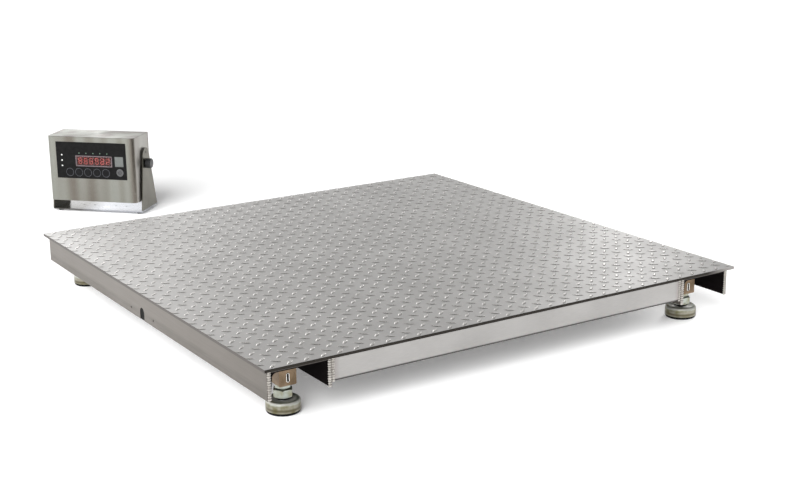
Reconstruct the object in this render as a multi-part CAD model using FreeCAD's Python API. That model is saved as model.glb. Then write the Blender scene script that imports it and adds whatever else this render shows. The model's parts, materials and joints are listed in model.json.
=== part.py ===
import FreeCAD, Part
import math
import os

from FreeCAD import Vector

# A platform scale for a warehouse floor: a square tread-plate deck on two side channels, carried by
# four shear-beam load cells on levelling feet, and its weight indicator on a bent bracket.
# Sizes are in millimetres. The origin is the centre of the deck's top face, +X to the right,
# +Y to the back and +Z up. The floor lies below, at floor_z.

# Deck plate
deck_width = 1200.0
deck_depth = 1200.0
deck_thickness = 6.0
deck_side_overhang = 10.0
deck_end_overhang = 12.0

# Side channels: hot-rolled section, web up against the deck and flanges down
channel_width = 140.0
channel_depth = 62.0
channel_web = 8.0
channel_flange = 9.5
channel_slope = 0.1
channel_root_radius = 9.5
channel_toe_radius = 4.75

# Cable outlet and guard holes in the left channel's outer flange
notch_width = 23.0
notch_height = 28.0
guard_hole_radius = 2.5
guard_hole_spacing = 120.0
guard_hole_rise = 14.0

# Folded front and rear beams, and folded ribs under the deck
beam_height = 53.0
beam_lip = 40.0
beam_wall = 4.0
beam_bend_radius = 6.0
rib_count = 3
rib_width = 60.0
rib_height = 46.0
rib_wall = 4.0
rib_bend_radius = 6.0

# Load cells
cell_width = 38.0
cell_height = 38.0
cell_length = 171.5
cell_chamfer = 1.5
cell_foot_inset = 22.0
cell_bolt_inset = 19.0
cell_bolt_spacing = 38.0
cell_bolt_clearance = 0.75
cell_pocket_length = 46.0
cell_pocket_height = 24.0
cell_pocket_depth = 5.0
cell_slot_width = 5.0
cell_slot_height = 17.0
cell_slot_depth = 12.0
cell_slot_drop = 21.5
foot_inset = 70.0
pad_thickness = 14.0
pad_length = 78.0

# Cap screws that hold the load cells
bolt_radius = 6.0
bolt_head_radius = 9.0
bolt_head_height = 12.0
bolt_socket_across = 10.0
bolt_socket_depth = 6.0
bolt_grip = 12.0
bolt_clearance = 0.05

# Levelling feet
stud_radius = 10.0
stud_top_drop = 4.0
stud_bevel = 1.5
thread_clearance = 0.06
jam_nut_across = 30.0
jam_nut_height = 8.0
collar_gap = 3.0
collar_across = 36.0
collar_height = 16.0
collar_bevel = 1.2
neck_radius = 11.5
neck_length = 5.0
ball_radius = 8.0
ball_clearance = 0.05
ball_seat_depth = 2.05
seal_gap = 0.3
seal_width = 4.0
seal_height = 4.0
seal_bevel = 1.0
cup_radius = 35.0
cup_height = 23.0
cup_shoulder_radius = 6.0
cup_dish_radius = 15.0
cup_dish_depth = 3.0
cup_mouth_rise = 3.0
cup_floor = 6.0
cup_rim = 1.5
cup_recess = 2.0
rubber_thickness = 6.0
rubber_bevel = 1.0

# Junction box under the web of the left channel
junction_width = 80.0
junction_length = 160.0
junction_height = 38.0
junction_wall = 2.0
junction_lid = 2.0
junction_shift = 9.0
junction_post_radius = 6.0
junction_board_length = 110.0
junction_board_width = 56.0
board_thickness = 1.6
board_spacer = 8.0
board_spacer_edge = 1.0
terminal_width = 10.0
terminal_height = 10.0
terminal_end_gap = 12.0
lid_screw_radius = 2.0
lid_screw_head = 3.8
lid_screw_head_height = 2.2
lid_screw_inset = 7.0
lid_screw_length = 10.0
lid_screw_hole_depth = 12.0

# Cable glands: small ones on the load cells and the junction box, larger ones on the indicator
small_gland_across = 14.0
small_gland_radius = 6.0
small_gland_hole = 2.4
small_gland_mouth = 3.6
small_gland_dome = 3.0
small_gland_nut = 5.0
small_gland_length = 14.0
large_gland_across = 19.0
large_gland_radius = 8.2
large_gland_hole = 3.4
large_gland_mouth = 5.0
large_gland_dome = 4.0
large_gland_nut = 5.0
large_gland_length = 20.0

# Where the indicator stands on the floor, and how far it is turned about Z
indicator_x = -200.0
indicator_y = 1230.0
indicator_turn = -46.0

# Indicator housing: bent stainless sheet, seen from the front, with its face towards -Y
housing_width = 280.0
housing_height = 197.0
housing_depth = 107.0
housing_wall = 1.5
housing_corner_radius = 12.0
housing_edge_radius = 1.2
housing_flange = 15.0
gasket_width = 12.0
gasket_thickness = 1.5
cover_thickness = 1.5
cover_corner_radius = 2.4
cover_screw_radius = 2.0
cover_screw_head = 3.8
cover_screw_head_height = 2.2
cover_screw_inset = 7.0
cover_screw_grip = 4.0

# Bracket of the indicator
bracket_sheet = 3.0
bracket_bend_radius = 4.5
bracket_side_gap = 4.0
bracket_base_gap = 31.0
bracket_foot_radius = 8.0
bracket_foot_height = 6.0
bracket_foot_bevel = 1.0
bracket_foot_inset = 18.0
bracket_front_inset = 22.0
bracket_depth = 115.0
arm_top_radius = 23.5
arm_top_rise = 48.0
arm_hole_radius = 3.4
arm_slot_hole_radius = 2.6
arm_slot_hole_rise = 34.0
bracket_hole_radius = 3.0
bracket_hole_inner = 35.0
bracket_hole_pitch = 35.0

# Pivot and clamp knobs
pivot_drop = 88.0
pivot_depth = 70.0
pivot_boss_radius = 12.0
pivot_gap = 0.3
pivot_insert_radius = 7.0
pivot_insert_length = 14.0
knob_radius = 15.0
knob_length = 16.0
knob_flutes = 8
knob_flute_radius = 3.0
knob_flute_start = 3.0
knob_bevel = 2.0
knob_stud_radius = 3.0
knob_stud_gap = 1.0
washer_radius = 9.0
washer_thickness = 1.2

# Overlay, keys and display on the front, measured from the housing's top left corner
overlay_width = 226.0
overlay_height = 111.0
overlay_thickness = 0.8
overlay_left = 27.0
overlay_top = 16.0
window_width = 113.0
window_height = 28.0
window_left = 92.0
window_top = 59.0
key_count = 5
key_radius = 12.5
key_first = 69.0
key_pitch = 29.2
key_drop = 108.0
power_key_radius = 11.3
power_key_left = 231.0
power_key_drop = 105.0
key_clearance = 0.3
key_proud = 0.3
key_bevel = 0.25
key_thickness = 3.0
key_stem_radius = 2.5
key_travel = 0.5
key_switch_size = 6.0
key_switch_height = 4.0
key_switch_gap = 0.1
digit_count = 6
digit_height = 20.0
digit_width = 11.5
digit_pitch = 17.8
segment_width = 2.4
segment_gap = 0.35
segment_thickness = 0.4
digit_block_margin = 2.5
window_gap = 0.4
lamp_radius = 2.2
lamp_count = 3
lamp_left = 45.0
lamp_first_drop = 56.0
lamp_pitch = 16.4
mark_radius = 1.4
mark_count = 5
mark_first = 102.0
mark_pitch = 22.6
mark_drop = 49.0
lamp_clearance = 0.05
display_board_gap = 9.0
display_board_margin = 18.0
main_board_width = 190.0
main_board_height = 120.0
main_board_gap = 12.0
main_board_top_gap = 5.0
main_spacer_inset = 6.0
transformer_width = 45.0
transformer_height = 40.0
transformer_depth = 24.0
transformer_inset = 20.0
spacer_radius = 3.0
battery_width = 101.0
battery_depth = 47.0
battery_height = 70.0
battery_edge_radius = 3.0
battery_shift = 40.0

# How far a cutting tool runs past the face it cuts, and how near two places count as one
overrun = 1.0
touch = 0.01
parallel = 1e-6

# Heights down from the deck to the floor
frame_top = -deck_thickness
web_bottom = frame_top - channel_web
flange_bottom = frame_top - channel_depth
cell_top = web_bottom - pad_thickness
cell_bottom = cell_top - cell_height
jam_nut_bottom = cell_bottom - jam_nut_height
collar_top = jam_nut_bottom - collar_gap
collar_bottom = collar_top - collar_height
neck_bottom = collar_bottom - neck_length
socket_radius = ball_radius + ball_clearance
ball_z = neck_bottom - socket_radius + ball_seat_depth
rubber_top = ball_z - socket_radius - cup_floor
floor_z = rubber_top - rubber_thickness
cup_bottom = rubber_top - cup_recess
cup_top = cup_bottom + cup_height

# Places in plan
channel_outer = deck_width / 2 - deck_side_overhang
channel_inner = channel_outer - channel_width
channel_end = deck_depth / 2 - deck_end_overhang
foot_x = (channel_outer + channel_inner) / 2
foot_y = channel_end - foot_inset
corners = {
    "front_left": (-1, -1),
    "front_right": (1, -1),
    "rear_left": (-1, 1),
    "rear_right": (1, 1),
}

# Places on the indicator, in its own frame: X to its right, Y to its back, Z up from the floor
bracket_base_top = bracket_foot_height + bracket_sheet
housing_bottom = bracket_base_top + bracket_base_gap
housing_top = housing_bottom + housing_height
face_y = -(housing_depth + gasket_thickness + cover_thickness) / 2
housing_back = face_y + housing_depth
cover_back = housing_back + gasket_thickness + cover_thickness
housing_side = housing_width / 2
arm_inside = housing_side + bracket_side_gap
arm_outside = arm_inside + bracket_sheet
pivot_y = face_y + pivot_depth
pivot_z = housing_top - pivot_drop
overlay_y = face_y - overlay_thickness
board_y = face_y + housing_wall + display_board_gap
washer_start = arm_outside + pivot_gap
knob_start = washer_start + washer_thickness


def box(x0, x1, y0, y1, z0, z1):
    """A block between two corners."""
    return Part.makeBox(x1 - x0, y1 - y0, z1 - z0, Vector(x0, y0, z0))


def rod(radius, start, end):
    """A round bar between two points."""
    start, end = Vector(*start), Vector(*end)
    return Part.makeCylinder(radius, (end - start).Length, start, end - start)


def upright(radius, x, y, z0, z1):
    """A round bar along Z."""
    return rod(radius, (x, y, z0), (x, y, z1))


def prism(points, length):
    """A flat outline pushed along a vector."""
    outline = [Vector(*p) for p in points]
    return Part.Face(Part.makePolygon(outline + outline[:1])).extrude(Vector(*length))


def hexagon(across, start, end):
    """A hexagonal bar between two points, with a flat facing along Z or, on an upright one, along Y."""
    start, end = Vector(*start), Vector(*end)
    axis = (end - start).normalize()
    flat = Vector(0, 1, 0) if abs(axis.z) > abs(axis.y) else Vector(0, 0, 1)
    side = axis.cross(flat)
    reach = across / math.sqrt(3)
    points = []
    for k in range(6):
        turn = math.radians(60 * k)
        points.append(start + side * (reach * math.cos(turn)) + flat * (reach * math.sin(turn)))
    return prism([tuple(p) for p in points], tuple(end - start))


def turned(points, x=0.0, y=0.0):
    """A profile of (radius, z) points turned about an upright axis."""
    outline = [Vector(x + r, y, z) for r, z in points]
    face = Part.Face(Part.makePolygon(outline + outline[:1]))
    return face.revolve(Vector(x, y, 0), Vector(0, 0, 1), 360)


def long_edges(shape, axis, wanted):
    """The straight edges of a shape that run along an axis and whose middle is wanted."""
    found = []
    for edge in shape.Edges:
        if len(edge.Vertexes) != 2 or not isinstance(edge.Curve, Part.Line):
            continue
        direction = edge.Curve.Direction
        if abs(abs(direction.dot(Vector(*axis))) - 1) > parallel:
            continue
        if wanted(edge.CenterOfMass):
            found.append(edge)
    return found


def cut(shape, *tools):
    """A shape less each tool."""
    for tool in tools:
        shape = shape.cut(tool)
    return shape


def fused(*shapes):
    """Touching shapes made one, with the seams between flush faces removed."""
    return shapes[0].multiFuse(list(shapes[1:])).removeSplitter()


def near(value, target):
    return abs(value - target) < touch


def folded_section(width, height, wall, bend, length):
    """A U of folded sheet along X: its web is at the bottom and its walls stand on +Z."""
    half = width / 2
    outline = [
        (0, -half, height),
        (0, -half, 0),
        (0, half, 0),
        (0, half, height),
        (0, half - wall, height),
        (0, half - wall, wall),
        (0, wall - half, wall),
        (0, wall - half, height),
    ]
    section = prism(outline, (length, 0, 0))
    outer = long_edges(section, (1, 0, 0), lambda p: near(p.z, 0))
    section = section.makeFillet(bend, outer)
    inner = long_edges(section, (1, 0, 0), lambda p: near(p.z, wall) and abs(p.y) < half - wall / 2)
    return section.makeFillet(bend - wall, inner)


def deck_plate():
    return box(-deck_width / 2, deck_width / 2, -deck_depth / 2, deck_depth / 2, -deck_thickness, 0)


def side_channel():
    """The left channel, whole: outer flange on -X, web under the deck."""
    half_taper = channel_slope * (channel_depth - channel_web) / 2
    root = channel_flange + half_taper
    toe = channel_flange - half_taper
    outline = [
        (-channel_outer, -channel_end, frame_top),
        (-channel_inner, -channel_end, frame_top),
        (-channel_inner, -channel_end, flange_bottom),
        (-channel_inner - toe, -channel_end, flange_bottom),
        (-channel_inner - root, -channel_end, web_bottom),
        (-channel_outer + root, -channel_end, web_bottom),
        (-channel_outer + toe, -channel_end, flange_bottom),
        (-channel_outer, -channel_end, flange_bottom),
    ]
    channel = prism(outline, (0, 2 * channel_end, 0))

    def at_toe(p):
        return near(p.z, flange_bottom) and abs(p.x + foot_x) < channel_width / 2 - toe / 2

    def at_root(p):
        return near(p.z, web_bottom) and abs(p.x + foot_x) < channel_width / 2 - root / 2

    channel = channel.makeFillet(channel_root_radius, long_edges(channel, (0, 1, 0), at_root))
    return channel.makeFillet(channel_toe_radius, long_edges(channel, (0, 1, 0), at_toe))


def side_channel_left():
    """The left channel, with the cable's outlet and the guard's two holes in its outer flange."""
    notch_top = flange_bottom + notch_height
    arch = notch_top - notch_width / 2
    outside = -channel_outer - overrun
    inside = -channel_outer + 2 * channel_flange
    channel = cut(
        side_channel(),
        rod(notch_width / 2, (outside, 0, arch), (inside, 0, arch)),
        box(outside, inside, -notch_width / 2, notch_width / 2, flange_bottom - overrun, arch),
    )
    hole_z = flange_bottom + guard_hole_rise
    for side in (-1, 1):
        y = side * guard_hole_spacing / 2
        channel = channel.cut(rod(guard_hole_radius, (outside, y, hole_z), (inside, y, hole_z)))
    return channel


def side_channel_right():
    return side_channel().mirror(Vector(0, 0, 0), Vector(1, 0, 0))


def cross_beam(side):
    """The folded beam between the channels at the front (-1) or the rear (1), web outwards."""
    beam = folded_section(beam_height, beam_lip, beam_wall, beam_bend_radius, 2 * channel_inner)
    beam.rotate(Vector(0, 0, 0), Vector(1, 0, 0), 90 * side)
    beam.translate(Vector(-channel_inner, side * channel_end, frame_top - beam_height / 2))
    return beam


def deck_ribs():
    """Folded ribs across the deck, evenly spaced between the front and rear beams."""
    spacing = 2 * channel_end / (rib_count + 1)
    ribs = []
    for k in range(rib_count):
        rib = folded_section(rib_width, rib_height, rib_wall, rib_bend_radius, 2 * channel_inner)
        rib.translate(Vector(-channel_inner, -channel_end + (k + 1) * spacing, frame_top - rib_height))
        ribs.append(rib)
    return Part.makeCompound(ribs)


def at_corner(shape, corner):
    """Moves a shape from a front foot's axis at the origin to a corner, turned round at the rear."""
    across, along = corners[corner]
    placed = shape.copy()
    if along > 0:
        placed.rotate(Vector(0, 0, 0), Vector(0, 0, 1), 180)
    placed.translate(Vector(across * foot_x, along * foot_y, 0))
    return placed


def at_corners(*shapes):
    """One group of solids: the given shapes at each of the four corners."""
    return Part.makeCompound([at_corner(shape, corner) for corner in corners for shape in shapes])


def cell_bolt_places():
    """Distances from the foot's axis to the two screws at the fixed end."""
    last = cell_length - cell_foot_inset - cell_bolt_inset
    return (last - cell_bolt_spacing, last)


def load_cell():
    """A shear beam with its live end on -Y: foot hole, screw holes, gauge pockets and end slot."""
    half = cell_width / 2
    start = -cell_foot_inset
    end = start + cell_length
    body = box(-half, half, start, end, cell_bottom, cell_top)
    body = body.makeChamfer(cell_chamfer, long_edges(body, (0, 1, 0), lambda p: True))
    body = body.cut(upright(stud_radius + thread_clearance, 0, 0, cell_bottom - overrun, cell_top + overrun))
    hole = bolt_radius + cell_bolt_clearance
    for y in cell_bolt_places():
        body = body.cut(upright(hole, 0, y, cell_bottom - overrun, cell_top + overrun))
    return cut(body, *gauge_pockets(), end_slot())


def gauge_pockets():
    """Round-ended pockets on both sides, midway between the foot and the first screw."""
    middle_y = cell_bolt_places()[0] / 2
    middle_z = (cell_top + cell_bottom) / 2
    radius = cell_pocket_height / 2
    reach = cell_pocket_length / 2 - radius
    pockets = []
    for side in (-1, 1):
        inner = side * (cell_width / 2 - cell_pocket_depth)
        outer = side * (cell_width / 2 + overrun)
        ends = [rod(radius, (inner, middle_y + k * reach, middle_z), (outer, middle_y + k * reach, middle_z))
                for k in (-1, 1)]
        x0, x1 = sorted((inner, outer))
        middle = box(x0, x1, middle_y - reach, middle_y + reach, middle_z - radius, middle_z + radius)
        pockets.append(fused(ends[0], middle, ends[1]))
    return pockets


def end_slot():
    """The upright slot in the live end's face."""
    radius = cell_slot_width / 2
    reach = cell_slot_height / 2 - radius
    z = cell_top - cell_slot_drop
    y0, y1 = -cell_foot_inset - overrun, -cell_foot_inset + cell_slot_depth
    return fused(
        rod(radius, (0, y0, z - reach), (0, y1, z - reach)),
        box(-radius, radius, y0, y1, z - reach, z + reach),
        rod(radius, (0, y0, z + reach), (0, y1, z + reach)),
    )


def load_cell_pad():
    """The spacer between the web and the cell's fixed end, tapped for the two screws."""
    middle = sum(cell_bolt_places()) / 2
    half = cell_width / 2
    pad = box(-half, half, middle - pad_length / 2, middle + pad_length / 2, cell_top, web_bottom)
    for y in cell_bolt_places():
        hole_top = cell_top + bolt_grip + overrun
        pad = pad.cut(upright(bolt_radius + bolt_clearance, 0, y, cell_top - overrun, hole_top))
    return pad


def load_cell_bolts():
    """The cap screws of one cell, entered from below."""
    bolts = []
    for y in cell_bolt_places():
        head_bottom = cell_bottom - bolt_head_height
        head = upright(bolt_head_radius, 0, y, head_bottom, cell_bottom)
        shank = upright(bolt_radius, 0, y, cell_bottom, cell_top + bolt_grip)
        socket_top = head_bottom + bolt_socket_depth
        socket = hexagon(bolt_socket_across, (0, y, head_bottom - overrun), (0, y, socket_top))
        bolts.append(fused(head, shank).cut(socket))
    return bolts


def gland(across, radius, hole, mouth, dome, nut, length, start, direction):
    """A cable gland that stands on a face: hexagon, domed nut and the cable's hole."""
    start, direction = Vector(*start), Vector(*direction)
    nut_end = start + direction * nut
    dome_start = start + direction * (length - dome)
    tip = start + direction * length
    body = fused(
        hexagon(across, tuple(start), tuple(nut_end)),
        rod(radius, tuple(nut_end), tuple(dome_start)),
        Part.makeCone(radius, mouth, dome, dome_start, direction),
    )
    return body.cut(rod(hole, tuple(nut_end), tuple(tip + direction)))


def small_gland(start, direction):
    return gland(small_gland_across, small_gland_radius, small_gland_hole, small_gland_mouth,
                 small_gland_dome, small_gland_nut, small_gland_length, start, direction)


def large_gland(start, direction):
    return gland(large_gland_across, large_gland_radius, large_gland_hole, large_gland_mouth,
                 large_gland_dome, large_gland_nut, large_gland_length, start, direction)


def cable_glands():
    """One gland on the fixed end of each cell, and those of the junction box."""
    middle_z = (cell_top + cell_bottom) / 2
    on_cell = small_gland((0, cell_length - cell_foot_inset, middle_z), (0, 1, 0))
    glands = [at_corner(on_cell, corner) for corner in corners]
    box_z = (web_bottom + junction_bottom()) / 2
    x0, x1 = junction_sides()
    for side in (-1, 1):
        for x in (x0 + junction_width / 4, x1 - junction_width / 4):
            glands.append(small_gland((x, side * junction_length / 2, box_z), (0, side, 0)))
    glands.append(small_gland((x0, 0, box_z), (-1, 0, 0)))
    return Part.makeCompound(glands)


def junction_sides():
    middle = -foot_x + junction_shift
    return middle - junction_width / 2, middle + junction_width / 2


def junction_bottom():
    return web_bottom - junction_height


def junction_screw_places():
    x0, x1 = junction_sides()
    end = junction_length / 2 - lid_screw_inset
    return [(x, y) for x in (x0 + lid_screw_inset, x1 - lid_screw_inset) for y in (-end, end)]


def junction_box():
    """A tray fixed under the web, open below, with a post in each corner for the lid's screw."""
    x0, x1 = junction_sides()
    half, wall = junction_length / 2, junction_wall
    tray = cut(
        box(x0, x1, -half, half, junction_bottom(), web_bottom),
        box(x0 + wall, x1 - wall, wall - half, half - wall, junction_bottom() - overrun, web_bottom - wall),
    )
    posts = [upright(junction_post_radius, x, y, junction_bottom(), web_bottom - wall / 2)
             for x, y in junction_screw_places()]
    tray = fused(tray, *posts)
    for x, y in junction_screw_places():
        hole_top = junction_bottom() + lid_screw_hole_depth
        hole = upright(lid_screw_radius + bolt_clearance, x, y, junction_bottom() - overrun, hole_top)
        tray = tray.cut(hole)
    return tray


def junction_box_lid():
    """The lid and its four screws."""
    x0, x1 = junction_sides()
    half = junction_length / 2
    top = junction_bottom()
    lid = box(x0, x1, -half, half, top - junction_lid, top)
    screws = []
    for x, y in junction_screw_places():
        head_top = top - junction_lid
        hole = upright(lid_screw_radius + bolt_clearance, x, y, head_top - overrun, top + overrun)
        lid = lid.cut(hole)
        screws.append(fused(
            upright(lid_screw_head, x, y, head_top - lid_screw_head_height, head_top),
            upright(lid_screw_radius, x, y, head_top, top + lid_screw_length),
        ))
    return Part.makeCompound([lid] + screws)


def junction_board():
    """The summing board on four spacers, with its terminal blocks and trimmers."""
    x0, x1 = junction_sides()
    middle = (x0 + x1) / 2
    top = web_bottom - junction_wall - board_spacer
    half_x, half_y = junction_board_width / 2, junction_board_length / 2
    board = box(middle - half_x, middle + half_x, -half_y, half_y, top - board_thickness, top)
    parts = []
    for across in (-1, 1):
        for along in (-1, 1):
            x = middle + across * (half_x - spacer_radius - board_spacer_edge)
            y = along * (half_y - spacer_radius - board_spacer_edge)
            parts.append(upright(spacer_radius, x, y, top, top + board_spacer))
        row_x = middle + across * half_x / 2
        row_end = half_y - terminal_end_gap
        row_top = top - board_thickness
        parts.append(box(row_x - terminal_width / 2, row_x + terminal_width / 2,
                         -row_end, row_end, row_top - terminal_height, row_top))
    return fused(board, *parts)


def jam_nut():
    """The lock nut under the cell, bevelled where it meets the cell and below."""
    nut = hexagon(jam_nut_across, (0, 0, jam_nut_bottom), (0, 0, cell_bottom))
    nut = nut.common(bevelled_bar(jam_nut_across, jam_nut_bottom, cell_bottom))
    thread = stud_radius + thread_clearance
    return nut.cut(upright(thread, 0, 0, jam_nut_bottom - overrun, cell_bottom + overrun))


def bevelled_bar(across, z0, z1):
    """A turned bar that takes the corners off a hexagon's two ends."""
    corner = across / math.sqrt(3)
    face = corner - 2 * collar_bevel
    rise = collar_bevel
    return turned([(0, z0), (face, z0), (corner, z0 + rise), (corner, z1 - rise), (face, z1), (0, z1)])


def foot_stud():
    """The levelling screw: threaded bar, hexagonal collar to turn it by, and a neck that sits on the ball."""
    collar = hexagon(collar_across, (0, 0, collar_bottom), (0, 0, collar_top))
    collar = collar.common(bevelled_bar(collar_across, collar_bottom, collar_top))
    top = cell_top - stud_top_drop
    bar = turned([(0, collar_top), (stud_radius, collar_top), (stud_radius, top - stud_bevel),
                  (stud_radius - stud_bevel, top), (0, top)])
    neck = upright(neck_radius, 0, 0, neck_bottom, collar_bottom)
    return fused(collar, bar, neck).cut(Part.makeSphere(socket_radius, Vector(0, 0, ball_z)))


def foot_seal():
    """The soft ring round the neck that keeps dirt out of the ball's socket."""
    inner = neck_radius + bolt_clearance
    outer = inner + seal_width
    top = collar_bottom - seal_gap
    bottom = top - seal_height
    return turned([(inner, bottom), (outer - seal_bevel, bottom), (outer, bottom + seal_bevel),
                   (outer, top - seal_bevel), (outer - seal_bevel, top), (inner, top)])


def foot_ball():
    return Part.makeSphere(ball_radius, Vector(0, 0, ball_z))


def foot_cup():
    """The turned cup: rounded shoulder, dished top, the ball's socket and a recess for the rubber."""
    mouth_z = ball_z + cup_mouth_rise
    mouth_radius = math.sqrt(socket_radius ** 2 - cup_mouth_rise ** 2)
    dish_z = cup_top - cup_dish_depth
    shoulder_r = cup_radius - cup_shoulder_radius
    shoulder_z = cup_top - cup_shoulder_radius
    turn = math.sqrt(0.5)

    def at(radius, z):
        return Vector(radius, 0, z)

    edges = [
        Part.makeLine(at(0, ball_z - socket_radius), at(0, rubber_top)),
        Part.makeLine(at(0, rubber_top), at(cup_radius - cup_rim, rubber_top)),
        Part.makeLine(at(cup_radius - cup_rim, rubber_top), at(cup_radius - cup_rim, cup_bottom)),
        Part.makeLine(at(cup_radius - cup_rim, cup_bottom), at(cup_radius, cup_bottom)),
        Part.makeLine(at(cup_radius, cup_bottom), at(cup_radius, shoulder_z)),
        Part.Arc(
            at(cup_radius, shoulder_z),
            at(shoulder_r + turn * cup_shoulder_radius, shoulder_z + turn * cup_shoulder_radius),
            at(shoulder_r, cup_top),
        ).toShape(),
        Part.makeLine(at(shoulder_r, cup_top), at(cup_dish_radius + cup_dish_depth, dish_z)),
        Part.makeLine(at(cup_dish_radius + cup_dish_depth, dish_z), at(mouth_radius, mouth_z)),
        Part.Arc(
            at(mouth_radius, mouth_z),
            at(socket_radius, ball_z),
            at(0, ball_z - socket_radius),
        ).toShape(),
    ]
    return Part.Face(Part.Wire(edges)).revolve(Vector(0, 0, 0), Vector(0, 0, 1), 360)


def foot_rubber():
    """The rubber pad under the cup, with a bevelled lower edge."""
    radius = cup_radius - cup_rim
    return turned([(0, floor_z), (radius - rubber_bevel, floor_z), (radius, floor_z + rubber_bevel),
                   (radius, rubber_top), (0, rubber_top)])


def on_floor(shape):
    """Moves a shape from the indicator's own frame to its place on the floor."""
    placed = shape.copy()
    placed.rotate(Vector(0, 0, 0), Vector(0, 0, 1), indicator_turn)
    placed.translate(Vector(indicator_x, indicator_y, floor_z))
    return placed


def face_point(left, drop):
    """The indicator's X and Z of a point given from the top left corner of its face."""
    return left - housing_width / 2, housing_top - drop


def key_places():
    """Name, x, z and radius of each key."""
    places = []
    for k in range(key_count):
        places.append((f"key_{k + 1}", *face_point(key_first + k * key_pitch, key_drop), key_radius))
    places.append(("power_key", *face_point(power_key_left, power_key_drop), power_key_radius))
    return places


def lamp_places():
    """x, z and radius of the three status lamps and the five marks above the window."""
    lamps = [(*face_point(lamp_left, lamp_first_drop + k * lamp_pitch), lamp_radius)
             for k in range(lamp_count)]
    marks = [(*face_point(mark_first + k * mark_pitch, mark_drop), mark_radius)
             for k in range(mark_count)]
    return lamps + marks


def window_box(y0, y1, margin=0.0):
    x0, z1 = face_point(window_left, window_top)
    return box(x0 - margin, x0 + window_width + margin, y0, y1, z1 - window_height - margin, z1 + margin)


def face_holes(y0, y1):
    """Through holes for the window, the keys and the lamps."""
    holes = [window_box(y0, y1)]
    for _, x, z, radius in key_places():
        holes.append(rod(radius + key_clearance, (x, y0, z), (x, y1, z)))
    for x, z, radius in lamp_places():
        holes.append(rod(radius + lamp_clearance, (x, y0, z), (x, y1, z)))
    return holes


def cover_screw_places():
    """x and z of the six screws round the rear cover."""
    x = housing_side - cover_screw_inset
    low, high = housing_bottom + cover_screw_inset, housing_top - cover_screw_inset
    return [(k * x, z) for k in (-1, 0, 1) for z in (low, high)]


def housing_block(inset, y0, y1):
    """A block of the housing's outline less an inset, with its front corners rounded."""
    half = housing_side - inset
    block = box(-half, half, y0, y1, housing_bottom + inset, housing_top - inset)
    corner_edges = long_edges(block, (0, 0, 1), lambda p: near(p.y, y0))
    return block.makeFillet(housing_corner_radius - inset, corner_edges)


def indicator_housing():
    """The wrapped sheet shell: face, sides, return flange at the back and a threaded pivot on each side."""
    outer = housing_block(0, face_y, housing_back)
    rim = [edge for edge in outer.Edges if near(edge.CenterOfMass.z, housing_top)
           or near(edge.CenterOfMass.z, housing_bottom)]
    rim = [edge for edge in rim if edge.CenterOfMass.y < housing_back - housing_wall]
    outer = outer.makeFillet(housing_edge_radius, rim)
    inner = housing_block(housing_wall, face_y + housing_wall, housing_back - housing_wall)
    opening = box(housing_flange - housing_side, housing_side - housing_flange,
                  housing_back - 2 * housing_wall, housing_back + overrun,
                  housing_bottom + housing_flange, housing_top - housing_flange)
    shell = cut(outer, inner, opening, *face_holes(face_y - overrun, face_y + 2 * housing_wall))
    shell = with_screw_holes(shell)
    for side in (-1, 1):
        boss_end = side * (arm_inside - pivot_gap)
        insert_end = side * (housing_side - pivot_insert_length)
        shell = fused(
            shell,
            rod(pivot_boss_radius, (side * (housing_side - housing_wall), pivot_y, pivot_z),
                (boss_end, pivot_y, pivot_z)),
            rod(pivot_insert_radius, (insert_end, pivot_y, pivot_z),
                (side * housing_side, pivot_y, pivot_z)),
        )
        thread = knob_stud_radius + thread_clearance
        start, end = insert_end - side * overrun, boss_end + side * overrun
        shell = shell.cut(rod(thread, (start, pivot_y, pivot_z), (end, pivot_y, pivot_z)))
    return shell


def frame_ring(width, y0, y1):
    """A flat frame of the housing's outline, as wide as given."""
    return cut(
        box(-housing_side, housing_side, y0, y1, housing_bottom, housing_top),
        box(width - housing_side, housing_side - width, y0 - overrun, y1 + overrun,
            housing_bottom + width, housing_top - width),
    )


def with_screw_holes(shape):
    """A shape less the holes of the cover's screws."""
    start = housing_back - 2 * housing_wall
    for x, z in cover_screw_places():
        hole = rod(cover_screw_radius + bolt_clearance, (x, start, z), (x, cover_back + overrun, z))
        shape = shape.cut(hole)
    return shape


def cover_gasket():
    return with_screw_holes(frame_ring(gasket_width, housing_back, housing_back + gasket_thickness))


def rear_cover():
    cover = box(-housing_side, housing_side, housing_back + gasket_thickness, cover_back,
                housing_bottom, housing_top)
    cover = cover.makeFillet(cover_corner_radius, long_edges(cover, (0, 1, 0), lambda p: True))
    return with_screw_holes(cover)


def cover_screws():
    """Pan-head screws through the cover, the gasket and the return flange."""
    screws = []
    for x, z in cover_screw_places():
        screws.append(fused(
            rod(cover_screw_head, (x, cover_back, z), (x, cover_back + cover_screw_head_height, z)),
            rod(cover_screw_radius, (x, housing_back - cover_screw_grip, z), (x, cover_back, z)),
        ))
    return Part.makeCompound(screws)


def front_overlay():
    """The black printed panel on the face, cut out for the window, the keys and the lamps."""
    x0, z1 = face_point(overlay_left, overlay_top)
    panel = box(x0, x0 + overlay_width, overlay_y, face_y, z1 - overlay_height, z1)
    return cut(panel, *face_holes(overlay_y - overrun, face_y + overrun))


def display_window():
    """The clear filter in the overlay's cut-out."""
    return window_box(overlay_y, face_y)


def key_cap(x, z, radius):
    """A key: round cap, proud of the overlay, with a stem that stops short of its switch."""
    front = overlay_y - key_proud
    stem_end = board_y - key_switch_height - key_travel - key_switch_gap
    cap = rod(radius, (x, front, z), (x, front + key_thickness, z))
    cap = cap.makeChamfer(key_bevel, [e for e in cap.Edges if near(e.CenterOfMass.y, front)])
    return fused(cap, rod(key_stem_radius, (x, front + key_thickness, z), (x, stem_end, z)))


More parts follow.
